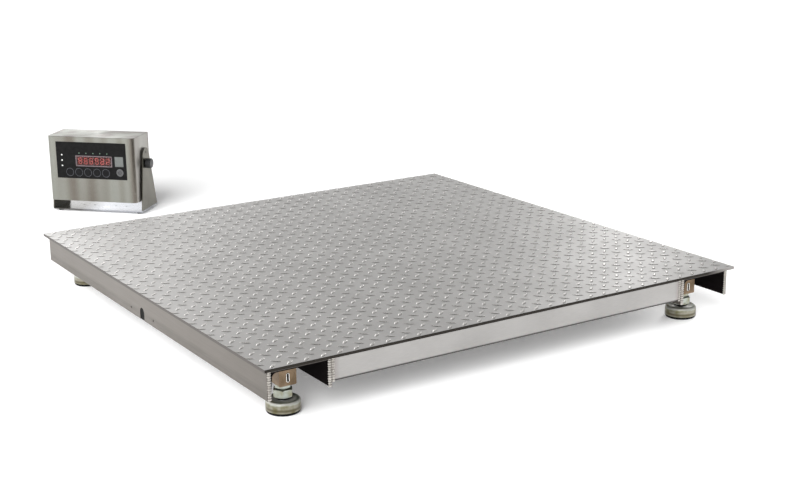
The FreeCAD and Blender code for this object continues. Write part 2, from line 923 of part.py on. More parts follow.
def digit_segments(x, z, y0, y1):
    """The seven bars of one digit, each a long hexagon."""
    across = digit_width / 2 - segment_width / 2
    rise = digit_height / 2 - segment_width / 2
    half = segment_width / 2
    bars = []
    for level in (-1, 0, 1):
        reach = across - segment_gap
        middle = z + level * rise
        outline = [(-reach, 0), (half - reach, half), (reach - half, half), (reach, 0),
                   (reach - half, -half), (half - reach, -half)]
        bars.append(prism([(x + a, y0, middle + b) for a, b in outline], (0, y1 - y0, 0)))
    for level in (-1, 1):
        for side in (-1, 1):
            reach = rise / 2 - segment_gap
            middle = z + level * rise / 2
            outline = [(0, -reach), (half, half - reach), (half, reach - half), (0, reach),
                       (-half, reach - half), (-half, half - reach)]
            bars.append(prism([(x + side * across + a, y0, middle + b) for a, b in outline],
                              (0, y1 - y0, 0)))
    return bars


def digit_centres():
    x0, z1 = face_point(window_left, window_top)
    middle_x, middle_z = x0 + window_width / 2, z1 - window_height / 2
    shift = (digit_count - 1) / 2
    return [(middle_x + (k - shift) * digit_pitch, middle_z) for k in range(digit_count)]


def led_display():
    """The lit bars of the digits, and the lamps that reach forward from the board."""
    front = face_y + window_gap
    bars = []
    for x, z in digit_centres():
        bars.extend(digit_segments(x, z, front, front + segment_thickness))
    lamps = [rod(radius, (x, overlay_y, z), (x, board_y, z)) for x, z, radius in lamp_places()]
    return Part.makeCompound(bars + lamps)


def circuit_boards():
    """The display board with its digit block and key switches, and the main board on the rear cover."""
    places = key_places()
    x0 = face_point(lamp_left, 0)[0] - display_board_margin
    x1 = max(x for _, x, _, _ in places) + display_board_margin
    z0 = min(z for _, _, z, _ in places) - display_board_margin
    z1 = face_point(0, mark_drop)[1] + display_board_margin
    board = box(x0, x1, board_y, board_y + board_thickness, z0, z1)
    block = window_box(face_y + window_gap + segment_thickness, board_y, -digit_block_margin / 2)
    parts = [block]
    for _, x, z, _ in places:
        half = key_switch_size / 2
        parts.append(box(x - half, x + half, board_y - key_switch_height, board_y, z - half, z + half))
    for x in (x0 + spacer_radius, x1 - spacer_radius):
        for z in (z0 + spacer_radius, z1 - spacer_radius):
            parts.append(rod(spacer_radius, (x, face_y + housing_wall, z), (x, board_y, z)))
    return Part.makeCompound([fused(board, *parts), main_board()])


def main_board():
    """The main board, its four spacers to the rear cover and its mains transformer."""
    cover_front = housing_back + gasket_thickness
    y1 = cover_front - main_board_gap
    y0 = y1 - board_thickness
    half = main_board_width / 2
    z1 = housing_top - housing_flange - main_board_top_gap
    z0 = z1 - main_board_height
    board = box(-half, half, y0, y1, z0, z1)
    left, top = transformer_inset - half, z1 - transformer_inset
    parts = [box(left, left + transformer_width, y0 - transformer_depth, y0, top - transformer_height, top)]
    for x in (main_spacer_inset - half, half - main_spacer_inset):
        for z in (z0 + main_spacer_inset, z1 - main_spacer_inset):
            parts.append(rod(spacer_radius, (x, y1, z), (x, cover_front, z)))
    return fused(board, *parts)


def battery():
    """The rechargeable battery that stands on the housing's floor."""
    floor = housing_bottom + housing_wall
    half = battery_depth / 2
    case = box(battery_shift - battery_width / 2, battery_shift + battery_width / 2,
               -half, half, floor, floor + battery_height)
    upright_edges = long_edges(case, (0, 0, 1), lambda p: True)
    return case.makeFillet(battery_edge_radius, upright_edges)


def indicator_glands():
    """Three glands low on the rear cover."""
    z = housing_bottom + housing_flange + large_gland_across
    return Part.makeCompound([large_gland((x, cover_back, z), (0, 1, 0))
                              for x in (-housing_width / 4, 0, housing_width / 4)])


def bracket_side_outline(x, width):
    """The bracket seen from its side, as a solid of the given width: wide foot and round top."""
    bottom = bracket_foot_height
    front = face_y + bracket_front_inset
    back = front + bracket_depth
    top_z = pivot_z + arm_top_rise - arm_top_radius
    front_touch = tangent_point(front, bottom, pivot_y, top_z, arm_top_radius, -1)
    back_touch = tangent_point(back, bottom, pivot_y, top_z, arm_top_radius, 1)
    crown = Vector(x, pivot_y, top_z + arm_top_radius)
    a, b = Vector(x, front, bottom), Vector(x, back, bottom)
    c, d = Vector(x, *back_touch), Vector(x, *front_touch)
    outline = Part.Wire([
        Part.makeLine(a, b),
        Part.makeLine(b, c),
        Part.Arc(c, crown, d).toShape(),
        Part.makeLine(d, a),
    ])
    return Part.Face(outline).extrude(Vector(width, 0, 0))


def tangent_point(y, z, centre_y, centre_z, radius, side):
    """Where a line from (y, z) touches a circle on the given side."""
    dy, dz = y - centre_y, z - centre_z
    distance = math.hypot(dy, dz)
    direction = math.atan2(dz, dy)
    swing = math.acos(radius / distance)
    angle = direction + side * swing
    return centre_y + radius * math.cos(angle), centre_z + radius * math.sin(angle)


def indicator_bracket():
    """One sheet bent to a U, its sides trimmed to the arms' outline, and the holes in it."""
    height = pivot_z + arm_top_rise - bracket_foot_height + overrun
    sheet = folded_section(2 * arm_outside, height, bracket_sheet, bracket_bend_radius, 2 * bracket_depth)
    sheet.rotate(Vector(0, 0, 0), Vector(0, 0, 1), 90)
    sheet.translate(Vector(0, pivot_y - bracket_depth, bracket_foot_height))
    bracket = sheet.common(bracket_side_outline(-arm_outside - overrun, 2 * (arm_outside + overrun)))
    for side in (-1, 1):
        x0, x1 = side * (arm_inside - overrun), side * (arm_outside + overrun)
        slot_z = pivot_z + arm_slot_hole_rise
        bracket = cut(
            bracket,
            rod(arm_hole_radius, (x0, pivot_y, pivot_z), (x1, pivot_y, pivot_z)),
            rod(arm_slot_hole_radius, (x0, pivot_y, slot_z), (x1, pivot_y, slot_z)),
        )
    for x, y in bracket_hole_places():
        hole = upright(bracket_hole_radius, x, y, bracket_foot_height - overrun, bracket_base_top + overrun)
        bracket = bracket.cut(hole)
    return bracket


def bracket_hole_places():
    """x and y of the four fixing holes along the middle of the base."""
    middle = face_y + bracket_front_inset + bracket_depth / 2
    inner, outer = bracket_hole_inner, bracket_hole_inner + bracket_hole_pitch
    return [(x, middle) for x in (-outer, -inner, inner, outer)]


def bracket_feet():
    """The rubber feet under the base."""
    front = face_y + bracket_front_inset
    rim, top = bracket_foot_radius, bracket_foot_height
    outline = [(0, 0), (rim - bracket_foot_bevel, 0), (rim, bracket_foot_bevel), (rim, top), (0, top)]
    feet = []
    for x in (bracket_foot_inset - arm_outside, arm_outside - bracket_foot_inset):
        for y in (front + bracket_foot_inset, front + bracket_depth - bracket_foot_inset):
            feet.append(turned(outline, x, y))
    return Part.makeCompound(feet)


def clamp_knob(side):
    """A fluted knob and its threaded stud, on the left (-1) or the right (1) of the indicator."""
    start, end = knob_start, knob_start + knob_length
    grip = rod(knob_radius, (start, pivot_y, pivot_z), (end, pivot_y, pivot_z))
    rim = [e for e in grip.Edges if near(e.CenterOfMass.x, end)]
    grip = grip.makeChamfer(knob_bevel, rim)
    for k in range(knob_flutes):
        turn = 2 * math.pi * k / knob_flutes
        y = pivot_y + (knob_radius + knob_flute_radius / 2) * math.cos(turn)
        z = pivot_z + (knob_radius + knob_flute_radius / 2) * math.sin(turn)
        grip = grip.cut(rod(knob_flute_radius, (start + knob_flute_start, y, z), (end + overrun, y, z)))
    stud_end = housing_side - pivot_insert_length + knob_stud_gap
    stud = rod(knob_stud_radius, (stud_end, pivot_y, pivot_z), (start, pivot_y, pivot_z))
    knob = fused(grip, stud)
    if side < 0:
        knob = knob.mirror(Vector(0, 0, 0), Vector(1, 0, 0))
    return knob


def knob_washer(side):
    """The washer between a knob and its arm."""
    x0, x1 = side * washer_start, side * knob_start
    past = side * overrun
    return cut(
        rod(washer_radius, (x0, pivot_y, pivot_z), (x1, pivot_y, pivot_z)),
        rod(knob_stud_radius + bolt_clearance, (x0 - past, pivot_y, pivot_z), (x1 + past, pivot_y, pivot_z)),
    )


def platform_parts():
    """The pieces of the platform by name."""
    parts = {
        "deck_plate": deck_plate(),
        "side_channel_left": side_channel_left(),
        "side_channel_right": side_channel_right(),
        "cross_beam_front": cross_beam(-1),
        "cross_beam_rear": cross_beam(1),
        "deck_ribs": deck_ribs(),
        "load_cell_pads": at_corners(load_cell_pad()),
        "load_cell_bolts": at_corners(*load_cell_bolts()),
        "cable_glands": cable_glands(),
        "jam_nuts": at_corners(jam_nut()),
        "junction_box": junction_box(),
        "junction_box_lid": junction_box_lid(),
        "junction_board": junction_board(),
    }
    for corner in corners:
        parts[f"load_cell_{corner}"] = at_corner(load_cell(), corner)
        parts[f"foot_stud_{corner}"] = at_corner(foot_stud(), corner)
        parts[f"foot_seal_{corner}"] = at_corner(foot_seal(), corner)
        parts[f"foot_ball_{corner}"] = at_corner(foot_ball(), corner)
        parts[f"foot_cup_{corner}"] = at_corner(foot_cup(), corner)
        parts[f"foot_rubber_{corner}"] = at_corner(foot_rubber(), corner)
    return parts


def indicator_parts():
    """The pieces of the indicator by name, in its own frame."""
    parts = {
        "indicator_housing": indicator_housing(),
        "cover_gasket": cover_gasket(),
        "rear_cover": rear_cover(),
        "cover_screws": cover_screws(),
        "front_overlay": front_overlay(),
        "display_window": display_window(),
        "led_display": led_display(),
        "circuit_boards": circuit_boards(),
        "battery": battery(),
        "indicator_glands": indicator_glands(),
        "indicator_bracket": indicator_bracket(),
        "bracket_feet": bracket_feet(),
        "knob_left": clamp_knob(-1),
        "knob_right": clamp_knob(1),
        "knob_washer_left": knob_washer(-1),
        "knob_washer_right": knob_washer(1),
    }
    for name, x, z, radius in key_places():
        parts[name] = key_cap(x, z, radius)
    return parts


def main():
    os.makedirs("parts", exist_ok=True)
    shapes = platform_parts()
    for name, shape in indicator_parts().items():
        shapes[name] = on_floor(shape)
    for name, shape in shapes.items():
        shape.exportStep(f"parts/{name}.step")
        size = shape.BoundBox
        print(f"{name}: {len(shape.Solids)} solids, "
              f"{size.XLength:.1f} x {size.YLength:.1f} x {size.ZLength:.1f} mm")
    print(f"{len(shapes)} pieces, floor at {floor_z:.2f} mm")


main()
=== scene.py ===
# %% [markdown]
# # A platform scale and its indicator
#
# The solids of this floor scale come from a CAD model: a square deck of tread plate on two rolled
# channels, four load cells on levelling feet, and a weight indicator that tilts on a bent bracket.
# This lesson dresses them. It gives every surface a procedural finish, raises the treads on the deck,
# lays the weld beads, prints the indicator's panel, and sets up a pale studio and a camera.
# All lengths are in metres unless a name says otherwise.

import json
import math

import bmesh
import bpy
from mathutils import Matrix, Vector


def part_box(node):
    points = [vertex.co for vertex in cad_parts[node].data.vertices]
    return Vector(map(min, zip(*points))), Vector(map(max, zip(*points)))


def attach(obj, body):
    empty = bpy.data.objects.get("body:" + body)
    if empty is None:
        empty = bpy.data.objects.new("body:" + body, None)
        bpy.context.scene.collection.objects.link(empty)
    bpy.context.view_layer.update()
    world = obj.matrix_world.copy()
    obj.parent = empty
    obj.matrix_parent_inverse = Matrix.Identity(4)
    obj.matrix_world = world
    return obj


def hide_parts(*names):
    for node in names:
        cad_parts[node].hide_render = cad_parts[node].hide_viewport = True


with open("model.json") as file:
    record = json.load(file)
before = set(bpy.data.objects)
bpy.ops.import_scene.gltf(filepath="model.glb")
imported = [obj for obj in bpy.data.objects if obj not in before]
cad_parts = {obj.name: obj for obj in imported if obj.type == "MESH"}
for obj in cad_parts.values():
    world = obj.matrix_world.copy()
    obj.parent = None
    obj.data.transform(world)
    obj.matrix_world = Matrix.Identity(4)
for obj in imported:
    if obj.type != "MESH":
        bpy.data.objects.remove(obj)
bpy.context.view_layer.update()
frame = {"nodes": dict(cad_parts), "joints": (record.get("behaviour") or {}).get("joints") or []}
nodes = frame["nodes"]
mm = 0.001
corners = ["front_left", "front_right", "rear_left", "rear_right"]

# %% [markdown]
# ## One function for every node
#
# Shader trees and Geometry Nodes trees are built the same way: a node is added, its settings are set,
# and each input is given a value or another node's output. One function does all of that, so that the
# trees below read as lists of what goes into what. Where a whole node is given, the first of its outputs
# that is in use is linked. Colours are written as the hex values that a paint program shows, and are
# turned to the linear values that Blender mixes.

# %% Convert a colour, fill inputs, add a node
def linear(hex_code):
    """A hex sRGB colour as linear red, green, blue and an alpha of 1."""
    channels = []
    for k in (0, 2, 4):
        value = int(hex_code[k:k + 2], 16) / 255
        channels.append(value / 12.92 if value <= 0.04045 else ((value + 0.055) / 1.055) ** 2.4)
    return (*channels, 1.0)


def feed(tree, node, inputs):
    """Gives inputs, by name or number, a value, a hex colour, another node's socket or a whole node."""
    for key, value in inputs.items():
        if isinstance(value, bpy.types.Node):
            value = next(socket for socket in value.outputs if socket.enabled)
        if isinstance(value, bpy.types.NodeSocket):
            tree.links.new(value, node.inputs[key])
        else:
            node.inputs[key].default_value = linear(value) if isinstance(value, str) else value


def add(tree, kind, inputs=None, **settings):
    """Adds a node with its settings and inputs."""
    node = tree.nodes.new(kind)
    for name, value in settings.items():
        setattr(node, name, value)
    feed(tree, node, inputs or {})
    return node


def new_material(name):
    """An empty node material, its tree and its shader."""
    material = bpy.data.materials.new(name)
    material.use_nodes = True
    tree = material.node_tree
    tree.nodes.clear()
    shader = add(tree, "ShaderNodeBsdfPrincipled")
    add(tree, "ShaderNodeOutputMaterial", {"Surface": shader})
    return material, tree, shader


# %% [markdown]
# ## Patterns that the finishes share
#
# Rolled, brushed and blasted metal all differ from a flat grey in the same three ways: the colour
# drifts over a hand's width, the gloss changes from place to place, and fine marks break up the
# highlight. Each is a noise texture on Object coordinates, with its scale worked out from a real size: a
# noise of scale s repeats about every 1/s metres. Most of a noise's values lie between 0.3 and 0.7, and a
# Map Range node stretches that middle to the range that is wanted.

# %% Marks of a real size
def middle_of(noise, low=0.0, high=1.0):
    """The inputs of a Map Range node that spreads the middle of a noise's values from low to high."""
    return {"Value": noise, "From Min": 0.3, "From Max": 0.7, "To Min": low, "To Max": high}


def grain(tree, size_mm, stretch=(1.0, 1.0, 1.0), turn=0.0, detail=2.0, roughness=0.5):
    """A noise whose patches are about size_mm across, turned about Z and then stretched."""
    where = add(tree, "ShaderNodeTexCoord")
    mapping = add(tree, "ShaderNodeMapping", {
        "Vector": where.outputs["Object"], "Rotation": (0.0, 0.0, turn), "Scale": stretch,
    })
    return add(tree, "ShaderNodeTexNoise", {
        "Vector": mapping, "Scale": 1000.0 / size_mm, "Detail": detail, "Roughness": roughness,
    })


def worked_metal(name, patch_mm, grain_mm, stretch, depth_mm, rough, smooth):
    """A metal with fine marks that run one way. Its tone, from 0 to 1, also says how smooth it is."""
    material, tree, shader = new_material(name)
    patches = grain(tree, patch_mm, detail=3.0)
    marks = grain(tree, grain_mm, stretch, detail=3.0, roughness=0.6)
    both = add(tree, "ShaderNodeMath", {0: patches, 1: marks}, operation="ADD")
    tone = add(tree, "ShaderNodeMapRange", {"Value": both, "From Min": 0.75, "From Max": 1.25})
    feed(tree, shader, {
        "Metallic": 1.0,
        "Roughness": add(tree, "ShaderNodeMix", {0: tone, 2: rough, 3: smooth}),
        "Normal": add(tree, "ShaderNodeBump", {"Height": marks, "Distance": depth_mm * mm}),
    })
    return material, tree, shader, tone


# %% [markdown]
# ## Masks and layers
#
# Several pieces have more than one skin, such as a plate with dark cut edges. A mask says where each skin
# is: a number that goes from 0 to 1 between two places along an axis. Masks multiply to where all of them
# are 1, and colours are laid over one another, each through its mask.

# %% Where a skin is, and one colour over another
sharp = 0.01 * mm


def fade(tree, axis, start, end, most=1.0, both_sides=False):
    """0 up to start along an axis, and most from end on. both_sides measures from the middle."""
    where = add(tree, "ShaderNodeTexCoord")
    place = add(tree, "ShaderNodeSeparateXYZ", {"Vector": where.outputs["Object"]}).outputs[axis]
    if both_sides:
        place = add(tree, "ShaderNodeMath", {0: place}, operation="ABSOLUTE")
    return add(tree, "ShaderNodeMapRange", {
        "Value": place, "From Min": start, "From Max": end, "To Max": most,
    })


def edge_mask(tree, axis, limit, skin):
    """1 within a skin's thickness of both ends of a piece."""
    return fade(tree, axis, limit - skin, limit - skin + sharp, both_sides=True)


def where_all(tree, mask, *others):
    """A mask that is 1 where all the given ones are."""
    for other in others:
        mask = add(tree, "ShaderNodeMath", {0: mask, 1: other}, operation="MULTIPLY")
    return mask


def layers(tree, colour, *covers):
    """A colour with others laid over it, each given with its mask."""
    for mask, cover in covers:
        colour = add(tree, "ShaderNodeMix", {0: mask, 6: colour, 7: cover}, data_type="RGBA")
    return colour


# %% [markdown]
# ## Plain steels
#
# Turned and sawn pieces need no more than those shared patterns. A metal's colour is what it reflects, so
# metallic is 1 in all of them. Their marks run one way, as the tool did, and streak says how many times
# longer than wide they are.

# %% Plain steels
def steel(name, light, dark, roughness, streak, patch_mm=90.0, grain_mm=1.2, grain_depth=0.02):
    """A steel whose marks run along X."""
    stretch = (1.0 / streak, 1.0, 1.0)
    material, tree, shader, tone = worked_metal(
        name, patch_mm, grain_mm, stretch, grain_depth, roughness + 0.06, roughness - 0.06)
    feed(tree, shader, {"Base Color": layers(tree, dark, (tone, light))})
    return material


lug_steel = steel("tread lugs, burnished by use", "B8B6B2", "AAA8A4", 0.26, 3.0, patch_mm=40.0)
weld_steel = steel("stainless weld bead, brushed", "CFCBC5", "B2ADA7", 0.34, 1.0, patch_mm=12.0)
machined_steel = steel("machined stainless steel", "B9B6B2", "A19E9A", 0.30, 4.0, grain_mm=0.8)
bright_steel = steel("bright turned steel", "F0EEEA", "DEDBD6", 0.20, 1.0, 8.0, 0.6)
bearing_steel = steel("polished bearing steel", "D2D2D2", "C4C4C4", 0.12, 1.0, 8.0, grain_depth=0.002)
nickel_brass = steel("nickel-plated brass", "CFCBBF", "B9B4A6", 0.22, 1.0, 9.0, grain_depth=0.01)
cell_steel = steel("dull nickel-plated alloy steel", "8F7B66", "6C5C49", 0.38, 2.0, patch_mm=24.0)

# %% [markdown]
# ## Tread plate
#
# Stainless tread plate is hot rolled and pickled, so its top is pale and satin with faint streaks along
# the rolling direction. The plate was cut to size by plasma, and the cut leaves a dark oxide on its edges:
# seen from the front, that is the thin black line round the deck. That black is partly painted shade under
# the edge, on all four sides, and at the right-hand end, where no shade falls, the front and back edges
# fade to a painted lit grey.
# The finish tells the edges from the top by where a point is: within a fraction of a millimetre of the
# plate's outline.

# %% Tread plate
deck_low, deck_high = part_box("deck_plate")
edge_skin = 0.3 * mm
# Where the painted shade on the front and back edges gives way to a painted lit end.
rub_starts = deck_high.x - 80 * mm
rub_full = deck_high.x - 20 * mm


def tread_finish():
    material, tree, shader, tone = worked_metal(
        "pickled stainless tread plate", 140.0, 2.5, (1.0 / 3.0, 1.0, 1.0), 0.03, 0.38, 0.34)
    top = layers(tree, "A8A6A4", (tone, "B2B0AE"))
    # The long edges are painted shade; the front and back ones are oxide with painted shade, lit at the
    # right-hand end.
    side_edge = edge_mask(tree, "X", deck_high.x, edge_skin)
    end_edge = edge_mask(tree, "Y", deck_high.y, edge_skin)
    oxide = layers(tree, "35322F", (fade(tree, "X", rub_starts, rub_full), "9A9794"))
    feed(tree, shader, {"Base Color": layers(tree, top, (side_edge, "605B57"), (end_edge, oxide))})
    return material


tread_steel = tread_finish()

# %% [markdown]
# ## Folded sheet
#
# The beams, the ribs and the junction box are folded from cold-rolled sheet, the smoothest steel here.
# The front beam has a darker stripe along its lower edge, painted shade where the bend faces the
# shaded floor. The stripe is a range of heights that fades in over a few millimetres.
# The weld at each end of a beam has tinted the sheet beside it, which a range of distances from the
# middle gives.

# %% Folded sheet
beam_low, beam_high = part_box("cross_beam_front")
bend_top = beam_low.z + 6.5 * mm
bend_full = bend_top - 3.0 * mm
heat_starts = beam_high.x - 18 * mm
heat_full = beam_high.x - 8 * mm


def beam_finish():
    material, tree, shader, tone = worked_metal(
        "folded cold-rolled stainless", 120.0, 1.2, (1.0 / 14.0, 1.0, 1.0), 0.015, 0.4, 0.3)
    face = layers(tree, "A7A5A3", (tone, "B0AEAC"))
    heat = fade(tree, "X", heat_starts, heat_full, 0.5, both_sides=True)
    # Painted shade: a dark stripe along the lower bend.
    bend = fade(tree, "Z", bend_top, bend_full)
    feed(tree, shader, {"Base Color": layers(tree, face, (heat, "948B88"), (bend, "34312F"))})
    return material


beam_steel = beam_finish()
print("front beam from", round(beam_low.z, 4), "to", round(beam_high.z, 4))

# %% [markdown]
# ## Rolled channel: two skins on one piece
#
# The outside of the channel is clean. It is paler from a little above its lower edge upwards, and a
# little darker towards the near end. The inside is painted shade: a matt near-black that stands for the
# deep shade between the flanges. Both skins are on one piece, so the material asks where a point is. The
# web's underside and the flanges' inner faces lie between the flanges and below the web. The web's sawn
# end is grey, with a black band of painted shade along its foot, where it meets its own underside.

# %% Rolled channel
channel_low, channel_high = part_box("side_channel_left")
channel_middle = abs(channel_low.x + channel_high.x) / 2
channel_half = (channel_high.x - channel_low.x) / 2
channel_end = channel_high.y
web_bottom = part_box("load_cell_pads")[1].z
inside_half = channel_half - 5.5 * mm
inside_bottom = channel_low.z + 0.5 * mm
inside_top = web_bottom + 1 * mm
band_starts = channel_low.z + 16 * mm
band_full = channel_low.z + 24 * mm
clean_starts = web_bottom + 1.5 * mm
clean_full = web_bottom + 3 * mm


def channel_inside(tree):
    """1 on the faces between the flanges and on the web's underside, of both channels."""
    inner = channel_middle - inside_half
    outer = channel_middle + inside_half
    return where_all(
        tree,
        fade(tree, "X", inner, inner + sharp, both_sides=True),
        fade(tree, "X", outer, outer - sharp, both_sides=True),
        fade(tree, "Z", inside_top, inside_top - sharp),
        fade(tree, "Z", inside_bottom, inside_bottom + sharp),
    )


def channel_outside(tree, tone):
    """The outside skin: paler above a height, a darker near end, and the web's sawn end with painted shade
    at its foot.
    """
    rolled_band = fade(tree, "Z", band_starts, band_full, 0.5)
    near_end = fade(tree, "Y", 0.0, -channel_end, 0.35)
    in_web = fade(tree, "Z", web_bottom, web_bottom + sharp)
    web_end = where_all(tree, edge_mask(tree, "Y", channel_end, edge_skin), in_web)
    # Painted shade: the web's sawn end is black along its foot.
    sawn = layers(tree, "151312", (fade(tree, "Z", clean_starts, clean_full), "6E6A66"))
    return layers(
        tree, "746F69", (tone, "847F7A"), (rolled_band, "918C86"), (near_end, "5D5852"), (web_end, sawn),
    )


def channel_finish():
    material, tree, shader, tone = worked_metal(
        "hot-rolled stainless channel", 160.0, 3.0, (1.0, 1.0 / 25.0, 1.0), 0.04, 0.42, 0.42)
    inside = channel_inside(tree)
    clouds = add(tree, "ShaderNodeMapRange", middle_of(grain(tree, 160.0, detail=3.0)))
    # Painted shade: the inside is matt and near-black, for the deep shade between the flanges.
    mill_scale = layers(tree, "050303", (clouds, "0A0707"))
    feed(tree, shader, {
        "Base Color": layers(tree, channel_outside(tree, tone), (inside, mill_scale)),
        "Metallic": add(tree, "ShaderNodeMix", {0: inside, 2: 1.0, 3: 0.0}),
        "Roughness": add(tree, "ShaderNodeMix", {0: inside, 2: 0.42, 3: 0.9}),
        "Specular IOR Level": 0.08,
    })
    return material


channel_steel = channel_finish()
print("channel middle at", round(channel_middle, 4), "half width", round(channel_half, 4))

# %% [markdown]
# ## Zinc plate
#
# The feet are turned from mild steel, zinc plated and passivated, which leaves a film that shows yellow
# and green like oil on water. On the cup the film is thickest half way down the side, so the colour
# changes with height there: yellow, then a browner band, then a pale top. The shoulder carries a painted
# highlight: a pale band there that mirrors less than the rest, so the lamps light it. Where the cup meets
# its rubber there is a dark line.

# %% Zinc plate
cup_low, cup_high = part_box("foot_cup_front_left")
foot_line_top = cup_low.z + 1.8 * mm
shoulder_height = 5.5 * mm


def cup_colour(tree, cloudy):
    """The plate's colour with its yellow side and brown band."""
    pale = layers(tree, "8E8C76", (cloudy, "ADB3AB"))
    yellow = layers(tree, "6C694C", (cloudy, "928F82"))
    low_down = fade(tree, "Z", cup_high.z - 5 * mm, cup_high.z - 7 * mm)
    band_top = fade(tree, "Z", cup_low.z + 11 * mm, cup_low.z + 8 * mm)
    band_bottom = fade(tree, "Z", cup_low.z + 3 * mm, cup_low.z + 6 * mm, 0.8)
    return layers(tree, pale, (low_down, yellow), (where_all(tree, band_top, band_bottom), "554E3B"))


def zinc_finish():
    material, tree, shader = new_material("zinc-plated steel, passivated")
    clouds = grain(tree, 19.0)
    turning = grain(tree, 4.0, (1.0, 1.0, 10.0))
    cloudy = add(tree, "ShaderNodeMapRange", {"Value": clouds, "From Min": 0.35, "From Max": 0.6})
    # Painted highlight: a pale, less metallic band round the cup's shoulder.
    rise = fade(tree, "Z", cup_high.z - shoulder_height, cup_high.z - shoulder_height / 2)
    fall = fade(tree, "Z", cup_high.z - 0.4 * mm, cup_high.z - 1.6 * mm)
    shoulder = where_all(tree, rise, fall)
    foot_line = fade(tree, "Z", foot_line_top, foot_line_top - sharp)
    feed(tree, shader, {
        "Base Color": layers(tree, cup_colour(tree, cloudy), (shoulder, "AEADA7"), (foot_line, "141413")),
        "Metallic": add(tree, "ShaderNodeMix", {0: shoulder, 2: 0.85, 3: 0.25}),
        "Roughness": add(tree, "ShaderNodeMapRange", middle_of(clouds, 0.34, 0.28)),
        "Normal": add(tree, "ShaderNodeBump", {"Height": turning, "Distance": 0.004 * mm}),
    })
    return material


zinc_steel = zinc_finish()

# %% [markdown]
# ## Brushed sheet
#
# The indicator's sheet was brushed along its width before it was bent. The scratches are finer than a
# pixel, so the noise that draws them is coarser than the real grit, 0.7 mm wide and 84 mm long, and it
# is faint. Brushed metal smears what it mirrors across its scratches into broad upright bands, and here
# those bands are a painted reflection in the colour: a noise that is stretched upwards. The indicator
# stands turned on the floor, so the pattern is turned with it. The side that faces right is painted paler
# past the bend, a painted reflection of the brightest part of the studio.

# %% The indicator's own directions
head_joint = [joint for joint in frame["joints"] if joint["name"] == "head_tilt"][0]
head_right = Vector(head_joint["axis"])
head_up = Vector((0.0, 0.0, 1.0))
head_front = head_right.cross(head_up)
head_turn = math.atan2(head_right.y, head_right.x)
head_matrix = Matrix((head_right, head_up, head_front)).transposed().to_4x4()
head_matrix.translation = Vector(head_joint["pos_m"])
print("indicator turned by", round(math.degrees(head_turn), 1), "degrees")


def head_box(name):
    """A piece's lowest and highest right, up and front, measured from the indicator's pivot."""
    inverse = head_matrix.inverted()
    points = [inverse @ vertex.co for vertex in nodes[name].data.vertices]
    return [Vector([pick(point[k] for point in points) for k in range(3)]) for pick in (min, max)]


def fade_right(tree, start, end, most=1.0):
    """0 up to a distance to the right of the indicator's pivot, and most from another one on."""
    where = add(tree, "ShaderNodeTexCoord").outputs["Object"]
    along = add(tree, "ShaderNodeVectorMath", {0: where, 1: tuple(head_right)}, operation="DOT_PRODUCT")
    pivot = head_right.dot(head_matrix.translation)
    return add(tree, "ShaderNodeMapRange", {
        "Value": along, "From Min": pivot + start, "From Max": pivot + end, "To Max": most,
    })


# %% Brushed sheet
side_full = head_box("indicator_housing")[1].x - 0.5 * mm
side_starts = side_full - 5.5 * mm


def brushed(name, scratch_mm, streak, depth_mm, rough, smooth, anisotropy):
    """A brushed metal, and its scratches, which run along the indicator's width."""
    material, tree, shader = new_material(name)
    scratches = grain(tree, scratch_mm, (1.0 / streak, 1.0, 1.0), -head_turn, 2.0, 0.7)
    feed(tree, shader, {
        "Metallic": 1.0,
        "Roughness": add(tree, "ShaderNodeMapRange", middle_of(scratches, rough, smooth)),
        "Anisotropic": anisotropy,
        "Normal": add(tree, "ShaderNodeBump", {"Height": scratches, "Distance": depth_mm * mm}),
    })
    return material, tree, shader, scratches


def housing_finish():
    material, tree, shader, scratches = brushed(
        "brushed stainless sheet", 0.7, 120.0, 0.008, 0.42, 0.3, 0.5)
    # Painted reflection: broad upright bands in the colour.
    broad = grain(tree, 46.0, (1.0, 1.0, 0.05), -head_turn, 0.0)
    bands = add(tree, "ShaderNodeMapRange", {"Value": broad, "From Min": 0.38, "From Max": 0.62})
    worn = add(tree, "ShaderNodeMapRange", middle_of(scratches, 0.0, 0.35))
    # Painted reflection: the side past the bend is paler.
    side = fade_right(tree, side_starts, side_full, 0.85)
    feed(tree, shader, {
        "Base Color": layers(tree, "5E554B", (bands, "888981"), (worn, "C2C2BC"), (side, "D6D4D1")),
    })
    return material


brushed_steel = housing_finish()

# %% [markdown]
# ## The bracket's sheet
#
# The bracket is bent from finer-brushed sheet, so its scratches are shorter and closer. Its base plate lies
# flat under the housing and mirrors two things at once: at the left the housing's dark underside, at the
# right the white studio. The finish paints that reflection into the base's colours, from dark to silver
# along its width, and tells the base from the arms by its height.

# %% The bracket's sheet
base_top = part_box("indicator_bracket")[0].z + 5 * mm
sheen_starts = -60 * mm
sheen_full = 10 * mm


def bracket_finish():
    material, tree, shader, scratches = brushed(
        "stainless sheet, finely brushed", 0.5, 60.0, 0.005, 0.32, 0.24, 0.3)
    patches = add(tree, "ShaderNodeMapRange", middle_of(grain(tree, 60.0)))
    worn = add(tree, "ShaderNodeMapRange", middle_of(scratches, 0.0, 0.2))
    base = fade(tree, "Z", base_top, base_top - sharp)
    # Painted reflection: the base goes from dark at the left to silver at the right.
    plate = layers(tree, "4C4A48", (fade_right(tree, sheen_starts, sheen_full), "A9ACB4"))
    feed(tree, shader, {
        "Base Color": layers(tree, "565349", (patches, "6B695F"), (base, plate), (worn, "BEBDB8")),
    })
    return material


bracket_steel = bracket_finish()

# %% [markdown]
# ## Rubber, plastics, film and glass
#
# What isn't metal has a low gloss that comes from its surface and not from its colour. Moulded rubber
# and plastic carry a fine texture, the printed panel is smooth film, and the filter over the digits is
# tinted clear plastic. The digits and lamps are lit, so they have a little light of their own, just
# enough to show through the filter.

